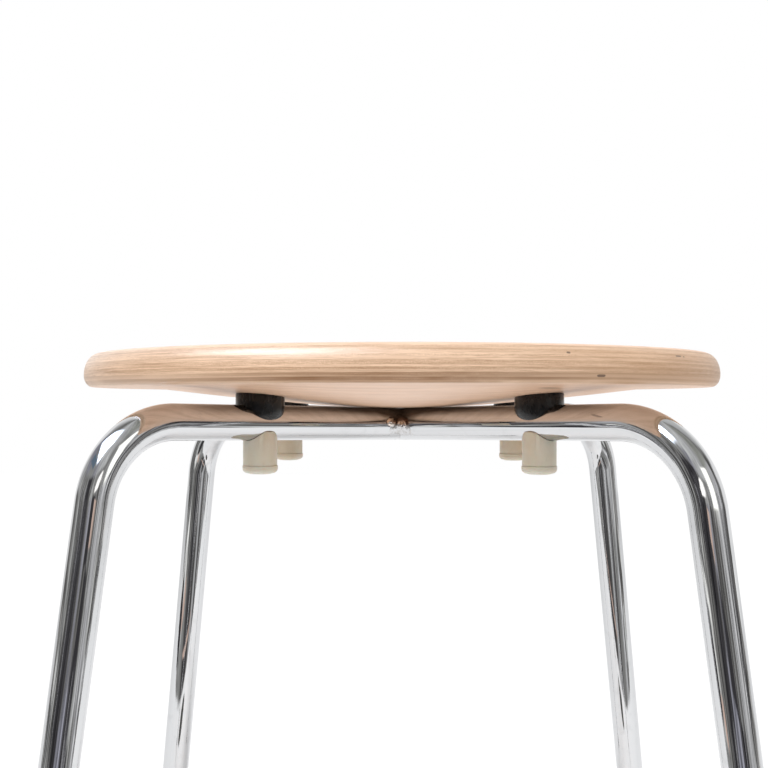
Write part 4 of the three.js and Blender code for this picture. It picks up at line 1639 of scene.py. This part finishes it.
def make_world():
    """White to the camera, a studio room to polished metal, and soft light to the rest"""
    world = bpy.data.worlds.new("Studio")
    bpy.context.scene.world = world
    world.use_nodes = True
    room = Recipe(world.node_tree)
    path = room.node("ShaderNodeLightPath").outputs
    direction = room.axes(room.node("ShaderNodeTexCoord").outputs["Generated"])
    light = soft_light(room, direction, stool().stage.fill)
    seen = room.blend(path["Is Glossy Ray"], light, room_colour(room, direction))
    for ray in ("Is Camera Ray", "Is Transmission Ray"):
        seen = room.blend(path[ray], seen, opaque(WHITE))
    room.feed(room.tree.nodes["Background"].inputs["Color"], seen)


def panel_finish(name, rgb):
    """A glow that fades where the mesh says so"""
    finish = Finish("Glow of " + name)
    shining = finish.shade("ShaderNodeEmission", opaque(rgb))
    clear = finish.shade("ShaderNodeBsdfTransparent", opaque(WHITE))
    return finish.show(finish.sum("POWER", finish.attribute("glow"), PANEL_FADE), clear, shining)


def make_panel(name, corners, rgb, core_share):
    """A flat glowing panel, fading out at its border, that only polished surfaces show"""
    rim = [Vector(corner) for corner in corners]
    middle = sum(rim, Vector()) / len(rim)
    core = [middle.lerp(corner, core_share) for corner in rim]
    count = len(rim)
    faces = [tuple(range(count))]
    faces += [(i, (i + 1) % count, count + (i + 1) % count, count + i) for i in range(count)]
    mesh = bpy.data.meshes.new(name)
    mesh.from_pydata(core + rim, [], faces)
    panel = add_object(name, mesh)
    store(panel, "glow", [1.0] * count + [0.0] * count)
    mesh.materials.append(panel_finish(name, rgb))
    panel.visible_camera = False
    panel.visible_diffuse = False
    panel.visible_shadow = False


def make_key_lamp():
    """A soft square lamp above the camera's left shoulder; polished metal shows the room instead"""
    stage = stool().stage
    data = bpy.data.lights.new("key", "AREA")
    data.shape = "SQUARE"
    data.size = stage.key_size
    data.energy = stage.key
    lamp = add_object("key", data)
    level = math.cos(stage.key_rise)
    outward = Vector((math.sin(stage.key_turn) * level, -math.cos(stage.key_turn) * level,
                      math.sin(stage.key_rise)))
    lamp.location = Vector((0.0, 0.0, stool().seat.height)) + outward * stage.key_distance
    lamp.rotation_euler = (-outward).to_track_quat("-Z", "Y").to_euler()
    lamp.visible_glossy = False


def make_camera():
    """The camera, level, where the photograph was taken from"""
    stage = stool().stage
    forward = Vector((-math.sin(stage.camera_turn), math.cos(stage.camera_turn), 0.0))
    rightward = Vector((forward.y, -forward.x, 0.0))
    data = bpy.data.cameras.new("camera")
    camera = add_object("camera", data)
    place = -forward * stage.camera_distance - rightward * stage.camera_aside
    place.z = stage.camera_height
    camera.location = place
    camera.rotation_euler = forward.to_track_quat("-Z", "Y").to_euler()
    data.lens = stage.lens
    data.shift_x = stage.shift_x
    data.shift_y = stage.shift_y
    data.clip_start, data.clip_end = CAMERA_CLIP
    bpy.context.scene.camera = camera


class STOOL_OT_stage(bpy.types.Operator):
    """Make the floor, the room's light, the lamp and the camera"""

    bl_idname = "stool.stage"
    bl_label = "Stage"

    def execute(self, context):
        scene = context.scene
        scene.view_settings.view_transform = "Standard"
        make_floor()
        make_world()
        for name, (corners, rgb, core_share) in PANELS.items():
            make_panel(name, corners, rgb, core_share)
        make_key_lamp()
        make_camera()
        return {"FINISHED"}


class STOOL_PT_panel(bpy.types.Panel):
    """The stool's settings and steps"""

    bl_idname = "STOOL_PT_panel"
    bl_label = "Stacking Stool"
    bl_space_type = "VIEW_3D"
    bl_region_type = "UI"
    bl_category = "Stool"

    def draw(self, context):
        for group_name in ("seat", "tube", "fitting", "stage"):
            group = getattr(context.scene.stool, group_name)
            column = self.layout.column(heading=group_name.title())
            for setting in group.bl_rna.properties:
                if setting.identifier not in ("name", "rna_type"):
                    column.prop(group, setting.identifier)
        for step in STEPS:
            self.layout.operator(step.bl_idname)


STEPS = (
    STOOL_OT_seat,
    STOOL_OT_frame,
    STOOL_OT_welds,
    STOOL_OT_spacers,
    STOOL_OT_stops,
    STOOL_OT_fasteners,
    STOOL_OT_glides,
    STOOL_OT_stage,
)
CLASSES = (
    SeatSettings,
    TubeSettings,
    FittingSettings,
    StageSettings,
    StoolSettings,
    *STEPS,
    STOOL_PT_panel,
)


def register():
    """Adds the settings, steps and panel to Blender"""
    for made in CLASSES:
        bpy.utils.register_class(made)
    bpy.types.Scene.stool = PointerProperty(type=StoolSettings)


def unregister():
    """Takes them out again"""
    del bpy.types.Scene.stool
    for made in reversed(CLASSES):
        bpy.utils.unregister_class(made)


def main():
    """Builds the stool and its stage"""
    register()
    bpy.ops.stool.seat()
    bpy.ops.stool.frame()
    bpy.ops.stool.welds()
    bpy.ops.stool.spacers()
    bpy.ops.stool.stops()
    bpy.ops.stool.fasteners()
    bpy.ops.stool.glides()
    bpy.ops.stool.stage()


if __name__ == "__main__":
    main()
